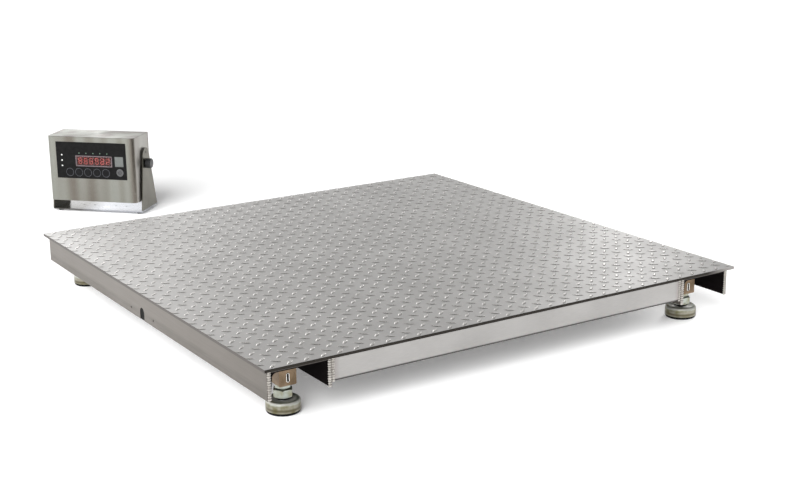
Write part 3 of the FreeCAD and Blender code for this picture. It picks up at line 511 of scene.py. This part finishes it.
# %% Rubber, plastics and film
def moulded(name, colour, roughness, grain_mm, depth_mm, ior=1.5, glow=0.0, gloss=0.5):
    """A moulded plastic or rubber with a fine texture of a real grain and depth."""
    material, tree, shader = new_material(name)
    patches = add(tree, "ShaderNodeMapRange", middle_of(grain(tree, 20 * grain_mm)))
    lighter = "".join(f"{min(255, int(colour[k:k + 2], 16) + 10):02X}" for k in (0, 2, 4))
    texture = {"Height": grain(tree, grain_mm), "Distance": depth_mm * mm}
    feed(tree, shader, {
        "Base Color": layers(tree, colour, (patches, lighter)),
        "Roughness": add(tree, "ShaderNodeMix", {0: patches, 2: roughness - 0.05, 3: roughness + 0.05}),
        "IOR": ior,
        "Specular IOR Level": gloss,
        "Normal": add(tree, "ShaderNodeBump", texture),
        "Emission Color": colour,
        "Emission Strength": glow,
    })
    return material


black_rubber = moulded("moulded black rubber", "080808", 0.75, 0.8, 0.04, gloss=0.2)
knob_plastic = moulded("black phenolic plastic", "141516", 0.35, 0.6, 0.02, 1.6)
battery_plastic = moulded("ABS battery case", "26272A", 0.5, 0.8, 0.02)
circuit_board = moulded("glass-fibre circuit board", "14452A", 0.4, 1.5, 0.02)
overlay_film = moulded("matt polyester film, black", "0A0A0A", 0.5, 0.5, 0.004, 1.3, gloss=0.25)
key_film = moulded("embossed polyester key, black", "0C0C0D", 0.5, 0.5, 0.004, 1.3, gloss=0.25)
grey_key_film = moulded("embossed polyester key, grey", "3C3C3D", 0.45, 0.5, 0.004, 1.45)
grey_ink = moulded("grey screen-printing ink", "424348", 0.6, 0.4, 0.002, 1.45)
pale_ink = moulded("pale grey screen-printing ink", "525553", 0.6, 0.4, 0.002, 1.45)
frame_ink = moulded("warm grey screen-printing ink", "5E5457", 0.6, 0.4, 0.002, 1.45)
red_diode = moulded("lit red diode bar", "874C48", 0.4, 0.4, 0.002, 1.5, 0.08)
white_lamp = moulded("lit white lamp lens", "B8BAB8", 0.3, 0.4, 0.002, 1.5, 0.3)
green_mark = moulded("dim green marker lens", "66806C", 0.4, 0.4, 0.002, 1.5, 0.05)
# Painted light: the digits' dark face glows a little, though it is no lamp.
digit_ground = moulded("dark red digit block face", "1A0B0B", 0.6, 0.5, 0.004, 1.5, 0.03)

# %% The filter over the digits
def filter_finish():
    material, tree, shader = new_material("red-tinted acrylic filter")
    haze = grain(tree, 12.0)
    feed(tree, shader, {
        "Base Color": layers(tree, "F2DAD8", (haze, "EDD0CE")),
        "Roughness": add(tree, "ShaderNodeMapRange", middle_of(haze, 0.08, 0.02)),
        "IOR": 1.2,
        "Transmission Weight": 1.0,
    })
    return material


window_filter = filter_finish()

# %% [markdown]
# ## Put the finishes on the CAD pieces
#
# A CAD piece keeps its mesh and gets a finish in its material slot. The names of the pieces say which
# one, so a short table of names is enough.

# %% Dress the CAD pieces
def paint(mesh, *materials):
    mesh.materials.clear()
    for material in materials:
        mesh.materials.append(material)


def dress(material, *names):
    for name in names:
        paint(nodes[name].data, material)


def four(name):
    return [f"{name}_{corner}" for corner in corners]


dress(tread_steel, "deck_plate")
dress(channel_steel, "side_channel_left", "side_channel_right")
dress(beam_steel, "cross_beam_front", "cross_beam_rear", "deck_ribs", "junction_box", "junction_box_lid")
dress(machined_steel, "load_cell_pads", "load_cell_bolts", "cover_screws")
dress(nickel_brass, "cable_glands", "indicator_glands")
dress(zinc_steel, "jam_nuts", *four("foot_stud"), *four("foot_cup"))
dress(cell_steel, *four("load_cell"))
dress(bearing_steel, *four("foot_ball"))
dress(black_rubber, "cover_gasket", "bracket_feet", *four("foot_rubber"), *four("foot_seal"))
dress(circuit_board, "circuit_boards", "junction_board")
dress(battery_plastic, "battery")
dress(brushed_steel, "indicator_housing", "rear_cover")
dress(bracket_steel, "indicator_bracket")
dress(overlay_film, "front_overlay")
dress(key_film, *[f"key_{k}" for k in range(1, 6)])
dress(grey_key_film, "power_key")
dress(knob_plastic, "knob_left", "knob_right", "knob_washer_left", "knob_washer_right")
dress(window_filter, "display_window")

# %% [markdown]
# ## From a Geometry Nodes tree to a plain piece
#
# Three things on this scale repeat by a rule: the treads, the ripples of the weld beads and the bright
# rims of the load cells' slots. Geometry Nodes make each of them from one small shape and a few points.
# The tree's sizes are named inputs, set by the socket's identifier before the tree first runs. The result
# is then turned to a plain mesh, which rides on its body like any other piece.

# %% Named inputs, and a tree turned to a mesh
def new_tree(name, **sizes):
    """A Geometry Nodes tree, its input node and the sockets of its named sizes with their values."""
    tree = bpy.data.node_groups.new(name, "GeometryNodeTree")
    tree.interface.new_socket("Geometry", in_out="INPUT", socket_type="NodeSocketGeometry")
    tree.interface.new_socket("Geometry", in_out="OUTPUT", socket_type="NodeSocketGeometry")
    values = []
    for label, value in sizes.items():
        socket = tree.interface.new_socket(label, in_out="INPUT", socket_type="NodeSocketFloat")
        values.append((socket.identifier, value))
    return tree, add(tree, "NodeGroupInput").outputs, values


def close_tree(tree, geometry, material, smooth=True):
    """The end of each tree: real geometry, shading and a material."""
    real = add(tree, "GeometryNodeRealizeInstances", {"Geometry": geometry})
    shaded = add(tree, "GeometryNodeSetShadeSmooth", {"Geometry": real, "Shade Smooth": smooth})
    finished = add(tree, "GeometryNodeSetMaterial", {"Geometry": shaded, "Material": material})
    add(tree, "NodeGroupOutput", {0: finished})


def put(name, data):
    """A new object in the scene with a mesh, curve, lamp or camera."""
    piece = bpy.data.objects.new(name, data)
    bpy.context.scene.collection.objects.link(piece)
    return piece


def plain_mesh(host, name):
    """The mesh that an object's tree or curve gives. The object is removed."""
    bpy.context.view_layer.update()
    evaluated = host.evaluated_get(bpy.context.evaluated_depsgraph_get())
    mesh = bpy.data.meshes.new_from_object(evaluated)
    mesh.name = name
    bpy.data.objects.remove(host)
    return mesh


def grown(name, tree, values, points=()):
    """Runs a tree on a mesh of the given points and returns an object with the plain result."""
    seed = bpy.data.meshes.new(name + "_points")
    seed.from_pydata([tuple(p) for p in points], [], [])
    host = put(name + "_host", seed)
    modifier = host.modifiers.new("growth", "NODES")
    modifier.node_group = tree
    for identifier, value in values:
        modifier[identifier] = value
    host.update_tag()
    piece = put(name, plain_mesh(host, name))
    print(name, "has", len(piece.data.polygons), "faces")
    return piece


def seat(piece, body):
    """Puts a finished piece on its body."""
    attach(piece, body)
    return piece


# %% [markdown]
# ## The treads
#
# Tread plate is rolled between a plain roll and one with pockets, which raises a lug at every pocket.
# The lugs lie on a grid and point two ways by turns: one set at the grid's crossings, the other in the
# middle of its cells, turned a quarter round. The tree makes a grid of points for each set, a lug on
# every point, and joins them. A lug is a low cone frustum, squeezed to 25 by 8 mm and 0.9 mm high. It has
# only fourteen faces, because there are nearly two thousand of them. The plate was cut from a larger one,
# so a lug at its edge is cut off too: points of the mesh that lie past the edge are moved back to it.

# %% Values of the tread pattern
tread_pitch_x = 36.5 * mm
tread_pitch_y = 42.0 * mm
crossing_first_x = 5.0 * mm
crossing_first_y = 33.0 * mm
lug_length = 25.0 * mm
lug_width = 8.0 * mm
lug_height = 0.9 * mm
lug_sides = 12
lug_crown = 0.55
cut_margin = 0.4 * mm


# %% Build the tree of the treads
def lug_shape(tree, given):
    """One lug: a frustum of unit size, scaled to the lug's length, width and height."""
    lug = add(tree, "GeometryNodeMeshCone", {
        "Vertices": lug_sides, "Side Segments": 1,
        "Radius Top": lug_crown / 2, "Radius Bottom": 0.5, "Depth": 1.0,
    })
    scale = add(tree, "ShaderNodeCombineXYZ", {
        "X": given["Lug length"], "Y": given["Lug width"], "Z": given["Lug height"],
    })
    return add(tree, "GeometryNodeTransform", {"Geometry": lug, "Scale": scale})


def lug_set(tree, given, lug, turn, first_x, first_y):
    """Lugs turned one way on a grid that fills the deck from a first point in its near left corner."""
    size = deck_high - deck_low
    steps_x = int((size.x - first_x) / tread_pitch_x)
    steps_y = int((size.y - first_y) / tread_pitch_y)
    size_x = {0: given["Pitch across"], 1: float(steps_x)}
    size_y = {0: given["Pitch along"], 1: float(steps_y)}
    grid = add(tree, "GeometryNodeMeshGrid", {
        "Size X": add(tree, "ShaderNodeMath", size_x, operation="MULTIPLY"),
        "Size Y": add(tree, "ShaderNodeMath", size_y, operation="MULTIPLY"),
        "Vertices X": steps_x + 1, "Vertices Y": steps_y + 1,
    })
    middle_x = deck_low.x + first_x + steps_x / 2 * tread_pitch_x
    middle_y = deck_low.y + first_y + steps_y / 2 * tread_pitch_y
    moved = add(tree, "GeometryNodeTransform", {
        "Geometry": grid, "Translation": (middle_x, middle_y, deck_high.z),
    })
    print("lugs turned", turn, "degrees:", steps_x + 1, "by", steps_y + 1)
    return add(tree, "GeometryNodeInstanceOnPoints", {
        "Points": moved, "Instance": lug, "Rotation": (0.0, 0.0, math.radians(turn)),
    })


def trimmed(tree, geometry):
    """Moves what lies past the deck's edge back to it."""
    where = add(tree, "GeometryNodeInputPosition")
    reach = Vector((deck_high.x - cut_margin, deck_high.y - cut_margin, 1.0))
    below = add(tree, "ShaderNodeVectorMath", {0: where, 1: reach}, operation="MINIMUM")
    within = add(tree, "ShaderNodeVectorMath", {0: below, 1: -reach}, operation="MAXIMUM")
    real = add(tree, "GeometryNodeRealizeInstances", {"Geometry": geometry})
    return add(tree, "GeometryNodeSetPosition", {"Geometry": real, "Position": within})


def tread_tree():
    tree, given, values = new_tree("raised treads", **{
        "Pitch across": tread_pitch_x, "Pitch along": tread_pitch_y,
        "Lug length": lug_length, "Lug width": lug_width, "Lug height": lug_height,
    })
    lug = lug_shape(tree, given)
    between_x = crossing_first_x + tread_pitch_x / 2
    between_y = crossing_first_y - tread_pitch_y / 2
    joined = add(tree, "GeometryNodeJoinGeometry")
    feed(tree, joined, {0: lug_set(tree, given, lug, 45.0, between_x, between_y)})
    feed(tree, joined, {0: lug_set(tree, given, lug, -45.0, crossing_first_x, crossing_first_y)})
    close_tree(tree, trimmed(tree, joined), lug_steel, False)
    return tree, values


seat(grown("deck_treads", *tread_tree()), "platform")

# %% [markdown]
# ## The weld beads
#
# The deck rests on the channels' webs and is welded round their ends. A bead is laid by hand, and each
# move of the torch leaves one scale that overlaps the last. So a bead is a row of flattened balls, each
# a little larger or smaller than the next by a random value with a fixed seed, and sunk half way into the
# flange that it runs down. The points are the beads' middles: two flanges at each end of each channel. A
# second, narrower set runs down the ends of the cross beams, beside the flanges that they are welded to.

# %% Values of the beads
bead_width = 9.0 * mm
bead_height = 2.6 * mm
bead_pitch = 5.0 * mm
bead_margin = 3.0 * mm
bead_overlap = 1.25
bead_lean = math.radians(18.0)
bead_least = 0.93
bead_most = 1.06
bead_seed = 7
beam_bead_width = 7.0 * mm
beam_bead_height = 1.6 * mm
flange_width = 9.5 * mm


# %% Build the beads
def bead_scale(tree, given):
    """One scale of a bead: a ball, flattened and leaned over."""
    ball = add(tree, "GeometryNodeMeshUVSphere", {"Segments": 12, "Rings": 8, "Radius": 0.5})
    overlapping = {0: given["Ripple pitch"], 1: bead_overlap}
    length = add(tree, "ShaderNodeMath", overlapping, operation="MULTIPLY")
    stretch = add(tree, "ShaderNodeCombineXYZ", {
        "X": given["Bead width"], "Y": given["Bead depth"], "Z": length,
    })
    return add(tree, "GeometryNodeTransform", {
        "Geometry": ball, "Scale": stretch, "Rotation": (bead_lean, 0.0, 0.0),
    })


def bead_tree(length, width, height):
    tree, given, values = new_tree("weld beads", **{
        "Bead width": width, "Bead depth": 2 * height, "Ripple pitch": bead_pitch,
    })
    line = add(tree, "GeometryNodeMeshLine", {
        "Count": int(length / bead_pitch) + 1,
        "Start Location": (0.0, 0.0, -length / 2), "Offset": (0.0, 0.0, bead_pitch),
    })
    rows = add(tree, "GeometryNodeInstanceOnPoints", {"Points": given["Geometry"], "Instance": line})
    points = add(tree, "GeometryNodeRealizeInstances", {"Geometry": rows})
    uneven = {2: bead_least, 3: bead_most, "Seed": bead_seed}
    ripples = add(tree, "GeometryNodeInstanceOnPoints", {
        "Points": points, "Instance": bead_scale(tree, given),
        "Scale": add(tree, "FunctionNodeRandomValue", uneven, data_type="FLOAT"),
    })
    close_tree(tree, ripples, weld_steel)
    return tree, values


def at_all_corners(x_values, z_middle):
    """Points at both ends of both channels."""
    sides = [side * x for side in (-1, 1) for x in x_values]
    return [(x, end * channel_end, z_middle) for x in sides for end in (-1, 1)]


flange_reach = channel_half - flange_width / 2
flange_middles = (channel_middle + flange_reach, channel_middle - flange_reach)
channel_bead = bead_tree(channel_high.z - channel_low.z - 2 * bead_margin, bead_width, bead_height)
channel_places = at_all_corners(flange_middles, (channel_low.z + channel_high.z) / 2)
seat(grown("channel_weld_beads", *channel_bead, channel_places), "platform")
beam_bead = bead_tree(beam_high.z - beam_low.z - 2 * bead_margin, beam_bead_width, beam_bead_height)
beam_places = at_all_corners((beam_high.x - beam_bead_width / 2,), (beam_low.z + beam_high.z) / 2)
seat(grown("beam_weld_beads", *beam_bead, beam_places), "platform")

# %% [markdown]
# ## Painted shade in the cable's outlet
#
# The notch in the left channel lets the cable out. Light falls under the deck, so a black rubber block
# fills the notch as painted shade, to make it read dark. Its outline is the notch's own, a rectangle under
# half a circle. The outline's face is extruded through the flange, a millimetre back from its outside.

# %% Painted shade in the cable's outlet
grommet_width = 22.6 * mm
grommet_top = channel_low.z + 27.8 * mm
grommet_bottom = channel_low.z + 0.2 * mm
grommet_outside = channel_low.x + 1.0 * mm
grommet_depth = 8.0 * mm
arch_steps = 16


# Painted shade: a black block that fills the cable's outlet.
def outlet_grommet():
    radius = grommet_width / 2
    arch = [math.pi * k / arch_steps for k in range(arch_steps + 1)]
    outline = [(radius * math.cos(a), grommet_top - radius + radius * math.sin(a)) for a in arch]
    outline += [(-radius, grommet_bottom), (radius, grommet_bottom)]
    shape = bmesh.new()
    face = shape.faces.new([shape.verts.new((grommet_outside, y, z)) for y, z in outline])
    through = bmesh.ops.extrude_face_region(shape, geom=[face])
    moved = [item for item in through["geom"] if isinstance(item, bmesh.types.BMVert)]
    bmesh.ops.translate(shape, vec=(grommet_depth, 0.0, 0.0), verts=moved)
    bmesh.ops.recalc_face_normals(shape, faces=shape.faces)
    mesh = bpy.data.meshes.new("outlet_grommet")
    shape.to_mesh(mesh)
    shape.free()
    paint(mesh, black_rubber)
    return seat(put("outlet_grommet", mesh), "platform")


outlet_grommet()

# %% [markdown]
# ## The bright rims of the load cells' slots
#
# A bright rim runs round the slot in each load cell's end. The tree bends a thin round wire along the
# slot's outline: a rectangle whose corners are filleted by just under half its width is the same stadium
# that the slot is.

# %% Slot rims
slot_width = 5.0 * mm
slot_height = 17.0 * mm
slot_drop = 21.5 * mm
rim_radius = 0.9 * mm
rim_rounding = 0.499
corner_points = 8
wire_sides = 10
upright = (math.radians(90.0), 0.0, 0.0)


def rim_tree():
    tree, given, values = new_tree("slot rims", **{
        "Slot width": slot_width + rim_radius, "Slot height": slot_height + rim_radius,
        "Rim radius": rim_radius,
    })
    outline = add(tree, "GeometryNodeCurvePrimitiveQuadrilateral", {
        "Width": given["Slot width"], "Height": given["Slot height"],
    })
    corner = add(tree, "ShaderNodeMath", {0: given["Slot width"], 1: rim_rounding}, operation="MULTIPLY")
    rounded = add(tree, "GeometryNodeFilletCurve", {
        "Curve": outline, "Count": corner_points, "Radius": corner, "Limit Radius": True,
    }, mode="POLY")
    wire = add(tree, "GeometryNodeCurvePrimitiveCircle", {
        "Resolution": wire_sides, "Radius": given["Rim radius"],
    })
    rim = add(tree, "GeometryNodeCurveToMesh", {"Curve": rounded, "Profile Curve": wire})
    rims = add(tree, "GeometryNodeInstanceOnPoints", {
        "Points": given["Geometry"], "Instance": rim, "Rotation": upright,
    })
    close_tree(tree, rims, bright_steel)
    return tree, values


def slot_places():
    places = []
    for c in corners:
        low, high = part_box(f"load_cell_{c}")
        end = low.y if c.startswith("front") else high.y
        places.append(((low.x + high.x) / 2, end, high.z - slot_drop))
    return places


seat(grown("load_cell_slot_rims", *rim_tree(), slot_places()), "platform")

# %% [markdown]
# ## Printing on the indicator's panel
#
# The panel is a printed film: a frame round the window, a ring round each key, a pale field and the
# key's power symbol. Ink has hardly any thickness, but a shape that only a texture drew would be lost in
# the exported mesh. So each print is a thin raised shape. A flat curve with its outlines fills itself,
# holes included, and a small extrusion gives it its thickness. It is made a mesh before it is moved to
# the panel, so that its object stays at the origin.

# %% Outlines
circle_steps = 40
corner_steps = 6


def arc(radius, start, end, x, y, steps):
    """Points along a circle from one angle to another, in degrees."""
    turns = [math.radians(start + (end - start) * k / steps) for k in range(steps + 1)]
    return [(x + radius * math.cos(a), y + radius * math.sin(a)) for a in turns]


def circle(radius, x, y):
    return arc(radius, 0, 360, x, y, circle_steps)[:-1]


def rectangle(low, high, corner=0.0, grow=0.0):
    """A rectangle between two corners, with its corners rounded if a radius is given."""
    x0, y0, x1, y1 = low[0] - grow, low[1] - grow, high[0] + grow, high[1] + grow
    if corner <= 0.0:
        return [(x0, y0), (x1, y0), (x1, y1), (x0, y1)]
    near, far, bottom, top = x0 + corner, x1 - corner, y0 + corner, y1 - corner
    middles = [(far, bottom), (far, top), (near, top), (near, bottom)]
    arcs = [arc(corner, 90 * k - 90, 90 * k, *middles[k], corner_steps) for k in range(4)]
    return [point for part in arcs for point in part]


def arc_band(radius, width, start, end, x, y, steps=24):
    """A band along a circle from one angle to another, in degrees."""
    outer = arc(radius + width / 2, start, end, x, y, steps)
    inner = arc(radius - width / 2, start, end, x, y, steps)
    return outer + inner[::-1]


# %% Fill the outlines and move them to the panel
ink_thickness = 0.12 * mm
same_point = 1e-7


def filled(name, outlines, thickness):
    """A flat mesh, filled between its outlines."""
    curve = bpy.data.curves.new(name, "CURVE")
    curve.dimensions = "2D"
    curve.fill_mode = "BOTH"
    curve.extrude = thickness / 2
    for outline in outlines:
        spline = curve.splines.new("POLY")
        spline.points.add(len(outline) - 1)
        for point, (x, y) in zip(spline.points, outline):
            point.co = (x, y, 0.0, 1.0)
        spline.use_cyclic_u = True
    return plain_mesh(put(name + "_curve", curve), name)


def printed(name, outlines, front, material, body, slot, thickness=ink_thickness):
    """A thin filled shape that starts at a distance in front of the pivot."""
    mesh = filled(name, outlines, thickness)
    shape = bmesh.new()
    shape.from_mesh(mesh)
    bmesh.ops.remove_doubles(shape, verts=shape.verts, dist=same_point)
    bmesh.ops.recalc_face_normals(shape, faces=shape.faces)
    shape.transform(head_matrix @ Matrix.Translation((0.0, 0.0, front + thickness / 2)))
    shape.to_mesh(mesh)
    shape.free()
    paint(mesh, material)
    return seat(put(name, mesh), body)


# %% The prints on the panel
panel_low, panel_high = head_box("front_overlay")
window_low, window_high = head_box("display_window")
frame_width = 2.2 * mm
frame_corner = 1.0 * mm
field_size = Vector((27.0 * mm, 30.0 * mm))
field_left = 189.5 * mm
field_drop = 41.0 * mm


def print_panel():
    body, slot = "indicator_head", "black_film"
    outside = rectangle(window_low, window_high, frame_corner, frame_width)
    window = [outside, rectangle(window_low, window_high)]
    printed("window_frame", window, panel_high.z, frame_ink, body, slot)
    x, y = panel_low.x + field_left, panel_high.y - field_drop - field_size.y
    field = rectangle((x, y), (x + field_size.x, y + field_size.y), frame_corner)
    printed("pale_field", [field], panel_high.z, pale_ink, body, slot)


print_panel()

# %% The prints on the keys
key_inset = 0.3 * mm
key_line = 0.9 * mm
power_inset = 1.0 * mm
power_line = 0.6 * mm
arc_radius = 4.4 * mm
arc_width = 1.1 * mm
arc_starts = 125
arc_ends = 415
bar_low = Vector((-0.55 * mm, 1.0 * mm))
bar_high = Vector((0.55 * mm, 5.6 * mm))


def key_ring(name, key, inset, line, ink, body, slot):
    """A ring round a key. Returns the key's middle and its front."""
    low, high = head_box(key)
    middle, radius = (low + high) / 2, (high.x - low.x) / 2 - inset
    ring = [circle(radius, middle.x, middle.y), circle(radius - line, middle.x, middle.y)]
    printed(name, ring, high.z, ink, body, slot)
    return middle.xy, high.z


for k in range(1, 6):
    key_ring(f"key_{k}_ring", f"key_{k}", key_inset, key_line, grey_ink, f"key_{k}_button", "key_film")

power_place = ("power_key_button", "grey_key_film")
power_middle, power_front = key_ring(
    "power_key_ring", "power_key", power_inset, power_line, pale_ink, *power_place)
power_arc = arc_band(arc_radius, arc_width, arc_starts, arc_ends, *power_middle)
power_bar = rectangle(power_middle + bar_low, power_middle + bar_high)
printed("power_symbol", [power_arc, power_bar], power_front, overlay_film, *power_place)

# %% [markdown]
# ## The lit digits
#
# In the CAD model the digits' bars, the lamps beside the window and the marks above it are one node.
# They shine in three colours, so a copy of the node's mesh stands for it, with a material for each. The
# copy is merged first, because a CAD mesh is loose triangles. A face inside the window is a red bar, one
# left of it belongs to a lamp, and the rest are marks. Behind the bars lies the block's dark red face,
# which glows faintly as painted light, though it is no lamp.

# %% Lit digits, lamps and marks
same_corner = 1e-6
bar_step = 0.25 * mm
clear_of_window = 2 * mm
ground_margin = 0.5 * mm
ground_thickness = 0.15 * mm
ground_drop = 0.82 * mm


def lit_material(at):
    """The number of the material for a face at a place: bar 0, lamp 1 or mark 2."""
    if at.x < window_low.x - clear_of_window:
        return 1
    return 2 if at.y > window_high.y + clear_of_window else 0


def lit_display():
    mesh = nodes["led_display"].data.copy()
    paint(mesh, red_diode, white_lamp, green_mark)
    inverse = head_matrix.inverted()
    shape = bmesh.new()
    shape.from_mesh(mesh)
    bmesh.ops.remove_doubles(shape, verts=shape.verts, dist=same_corner)
    for face in shape.faces:
        face.material_index = lit_material(inverse @ face.calc_center_median())
    bars = {vertex for face in shape.faces if face.material_index == 0 for vertex in face.verts}
    for vertex in bars:
        vertex.co += head_front * bar_step
    shape.to_mesh(mesh)
    shape.free()
    piece = put("lit_display", mesh)
    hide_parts("led_display")
    print("lit display:", len(mesh.polygons), "faces")
    return seat(piece, "indicator_head")


lit_display()
# The digits' dark face, which glows a little as painted light.
ground_outline = rectangle(window_low, window_high, grow=-ground_margin)
ground_front = window_low.z - ground_drop + bar_step - ground_thickness
ground_place = ("indicator_head", "red_diode", ground_thickness)
printed("digit_ground", [ground_outline], ground_front, digit_ground, *ground_place)

# %% [markdown]
# ## The studio
#
# The floor is a matt white that keeps the object's shadow, with a little light of its own that the
# camera and mirror rays see, so that it reads as pure white where nothing shades it. A broad sun lamp
# from the front left throws a soft shadow, most of which lies under and behind the scale. Two low soft
# boxes light the floor: a wide one along the left channel, and one with a narrow beam to the right of the
# far foot. Metal shows no lamp's light but what it mirrors, so what it mirrors is set apart in the world.
# It is white at the horizon, which a flat deck shows when it is seen at a low angle, grey overhead, and
# nearly black at the zenith, which the near sides of the treads show as thin dark strokes. Two bright
# walls, left and right of the line of sight, make the deck paler in two places, and to the right of the
# second the studio is darker. A soft box that only mirror rays see puts the glints on the treads.

# %% Floor
floor_z = min(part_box(f"foot_rubber_{c}")[0].z for c in corners)
floor_size = 60.0
floor_gap = 0.2 * mm
floor_glow = 0.16


def rays_are(tree, *kinds):
    """1 for rays of any of the given kinds."""
    rays = add(tree, "ShaderNodeLightPath").outputs
    found = 0.0
    for kind in kinds:
        found = add(tree, "ShaderNodeMath", {0: found, 1: rays[f"Is {kind} Ray"]}, operation="MAXIMUM")
    return found


def studio_floor():
    bpy.ops.mesh.primitive_plane_add(size=floor_size, location=(0.0, 0.0, floor_z - floor_gap))
    floor = bpy.context.object
    floor.name = "studio_floor"
    material, tree, shader = new_material("white studio floor")
    feed(tree, shader, {"Base Color": "F4F4F4", "Roughness": 0.9})
    shown = {0: rays_are(tree, "Camera", "Glossy", "Transmission"), 1: floor_glow}
    strength = add(tree, "ShaderNodeMath", shown, operation="MULTIPLY")
    glow = add(tree, "ShaderNodeEmission", {"Strength": strength})
    output = [node for node in tree.nodes if node.type == "OUTPUT_MATERIAL"][0]
    feed(tree, output, {"Surface": add(tree, "ShaderNodeAddShader", {0: shader, 1: glow})})
    floor.data.materials.append(material)


# %% What mirrors see
# Directions across are sines of the angle to the right of the line of sight, and heights are sines of
# the angle above the horizon.
ambient = 0.26
horizon_mirrored = 1.0
overhead_mirrored = 0.5
zenith_mirrored = 0.02
overhead_starts = 0.36
overhead_full = 0.52
zenith_starts = 0.9
zenith_full = 0.965
left_wall_gain = 1.9
left_wall_edges = (-0.08, -0.24, -0.5, -0.36)
right_wall_gain = 3.2
right_wall_edges = (0.148, 0.185, 0.225, 0.19)
right_shade = 0.62
shade_starts = 0.19
shade_full = 0.29
view_line = math.radians(31.2)


def soft_change(tree, place, start, end, before=0.0, after=1.0):
    """A level that changes softly from one value to another between two places."""
    share = add(tree, "ShaderNodeMapRange", {"Value": place, "From Min": start, "From Max": end},
                interpolation_type="SMOOTHSTEP")
    return add(tree, "ShaderNodeMix", {0: share, 2: before, 3: after})


def wall(tree, across, near_out, near_in, far_out, far_in):
    """1 on a wall with soft edges, one near the line of sight and one far from it."""
    near = soft_change(tree, across, near_out, near_in)
    return where_all(tree, near, soft_change(tree, across, far_out, far_in))


def mirrored_studio(tree, direction, z):
    """How bright the studio is that mirror rays see in a direction."""
    side = (math.cos(view_line), -math.sin(view_line), 0.0)
    across = add(tree, "ShaderNodeVectorMath", {0: direction, 1: side}, operation="DOT_PRODUCT")
    level = horizon_mirrored
    for edges, gain in ((left_wall_edges, left_wall_gain), (right_wall_edges, right_wall_gain)):
        brighter = {0: wall(tree, across, *edges), 1: gain, 2: level}
        level = add(tree, "ShaderNodeMath", brighter, operation="MULTIPLY_ADD")
    shade = soft_change(tree, across, shade_starts, shade_full, 0.0, right_shade)
    level = add(tree, "ShaderNodeMath", {0: level, 1: shade}, operation="SUBTRACT")
    level = soft_change(tree, z, overhead_starts, overhead_full, level, overhead_mirrored)
    return soft_change(tree, z, zenith_starts, zenith_full, level, zenith_mirrored)


# %% World
def studio_world():
    world = bpy.data.worlds.new("pale studio")
    bpy.context.scene.world = world
    world.use_nodes = True
    tree = world.node_tree
    tree.nodes.clear()
    where = add(tree, "ShaderNodeTexCoord").outputs["Generated"]
    height = add(tree, "ShaderNodeSeparateXYZ", {"Vector": where}).outputs["Z"]
    mirrored = {0: rays_are(tree, "Glossy"), 2: ambient, 3: mirrored_studio(tree, where, height)}
    strength = add(tree, "ShaderNodeMix", {
        0: rays_are(tree, "Camera", "Transmission"), 2: add(tree, "ShaderNodeMix", mirrored), 3: 1.0,
    })
    sky = add(tree, "ShaderNodeBackground", {"Color": "FFFFFF", "Strength": strength})
    add(tree, "ShaderNodeOutputWorld", {"Surface": sky})


# %% Lamps
def lamp(name, kind, place, target, size, power, unseen=()):
    """A lamp that faces a target and that some rays don't see. A sun's size is its width in degrees."""
    light = bpy.data.lights.new(name, kind)
    light.energy = power
    if kind == "SUN":
        light.angle = math.radians(size)
    else:
        light.size = size
    holder = put(name, light)
    holder.location = place
    holder.rotation_euler = (Vector(target) - Vector(place)).to_track_quat("-Z", "Y").to_euler()
    for rays in unseen:
        setattr(holder, "visible_" + rays, False)
    return holder


studio_floor()
studio_world()
lamp_z = floor_z + 0.65
lamp("broad_sun", "SUN", (-2.7, -2.0, 2.1), (0.0, 0.0, 0.0), 45.0, 4.9, ["glossy"])
lamp("low_side_softbox", "AREA", (-3.0, 0.0, lamp_z), (-0.6, 0.0, floor_z), 2.5, 75.0, ["glossy", "camera"])
narrow = lamp(
    "low_right_softbox", "AREA", (3.0, 1.4, lamp_z), (0.7, -0.1, floor_z), 1.6, 18.0, ["glossy", "camera"])
narrow.data.spread = math.radians(40.0)
lamp("glint_softbox", "AREA", (6.5, 3.6, 1.6), (0.3, 0.0, 0.0), 1.8, 5.0, ["diffuse", "camera"])
bpy.context.scene.view_settings.view_transform = "Standard"

# %% [markdown]
# ## The camera
#
# The four corners of the deck in the photograph fix its camera, and the lower edges of the channel, the
# beam and the feet pin it down further. Solving for the viewpoint, the turn and the focal length that
# carry a 1.2 m square to those places gives the values below. The lens's axis meets the photograph a
# little left of its middle, as in a cropped picture, and the camera's shift puts it there. The photograph
# is 785 by 500 pixels, which turns the focal length in pixels to one in millimetres.

# %% Camera
photo_width = 785
photo_height = 500
focal_pixels = 1427.7
axis_pixel_x = 360.4
axis_pixel_y = 248.6
sensor_mm = 36.0
camera_place = Vector((-1.7300, -2.8124, 0.9171))
camera_azimuth = math.radians(-31.231)
camera_elevation = math.radians(15.499)
camera_roll = math.radians(-1.0285)


def photo_camera():
    data = bpy.data.cameras.new("photo_camera")
    data.sensor_fit = "HORIZONTAL"
    data.sensor_width = sensor_mm
    data.lens = focal_pixels / photo_width * sensor_mm
    data.shift_x = (photo_width / 2 - axis_pixel_x) / photo_width
    data.shift_y = (axis_pixel_y - photo_height / 2) / photo_width
    data.clip_end = 100.0
    aside = Matrix.Rotation(camera_azimuth, 4, "Z")
    down = Matrix.Rotation(math.radians(90.0) - camera_elevation, 4, "X")
    rolled = Matrix.Rotation(camera_roll, 4, "Z")
    camera = put("photo_camera", data)
    camera.matrix_world = Matrix.Translation(camera_place) @ aside @ down @ rolled
    bpy.context.scene.camera = camera
    print("lens", round(data.lens, 2), "mm")


photo_camera()
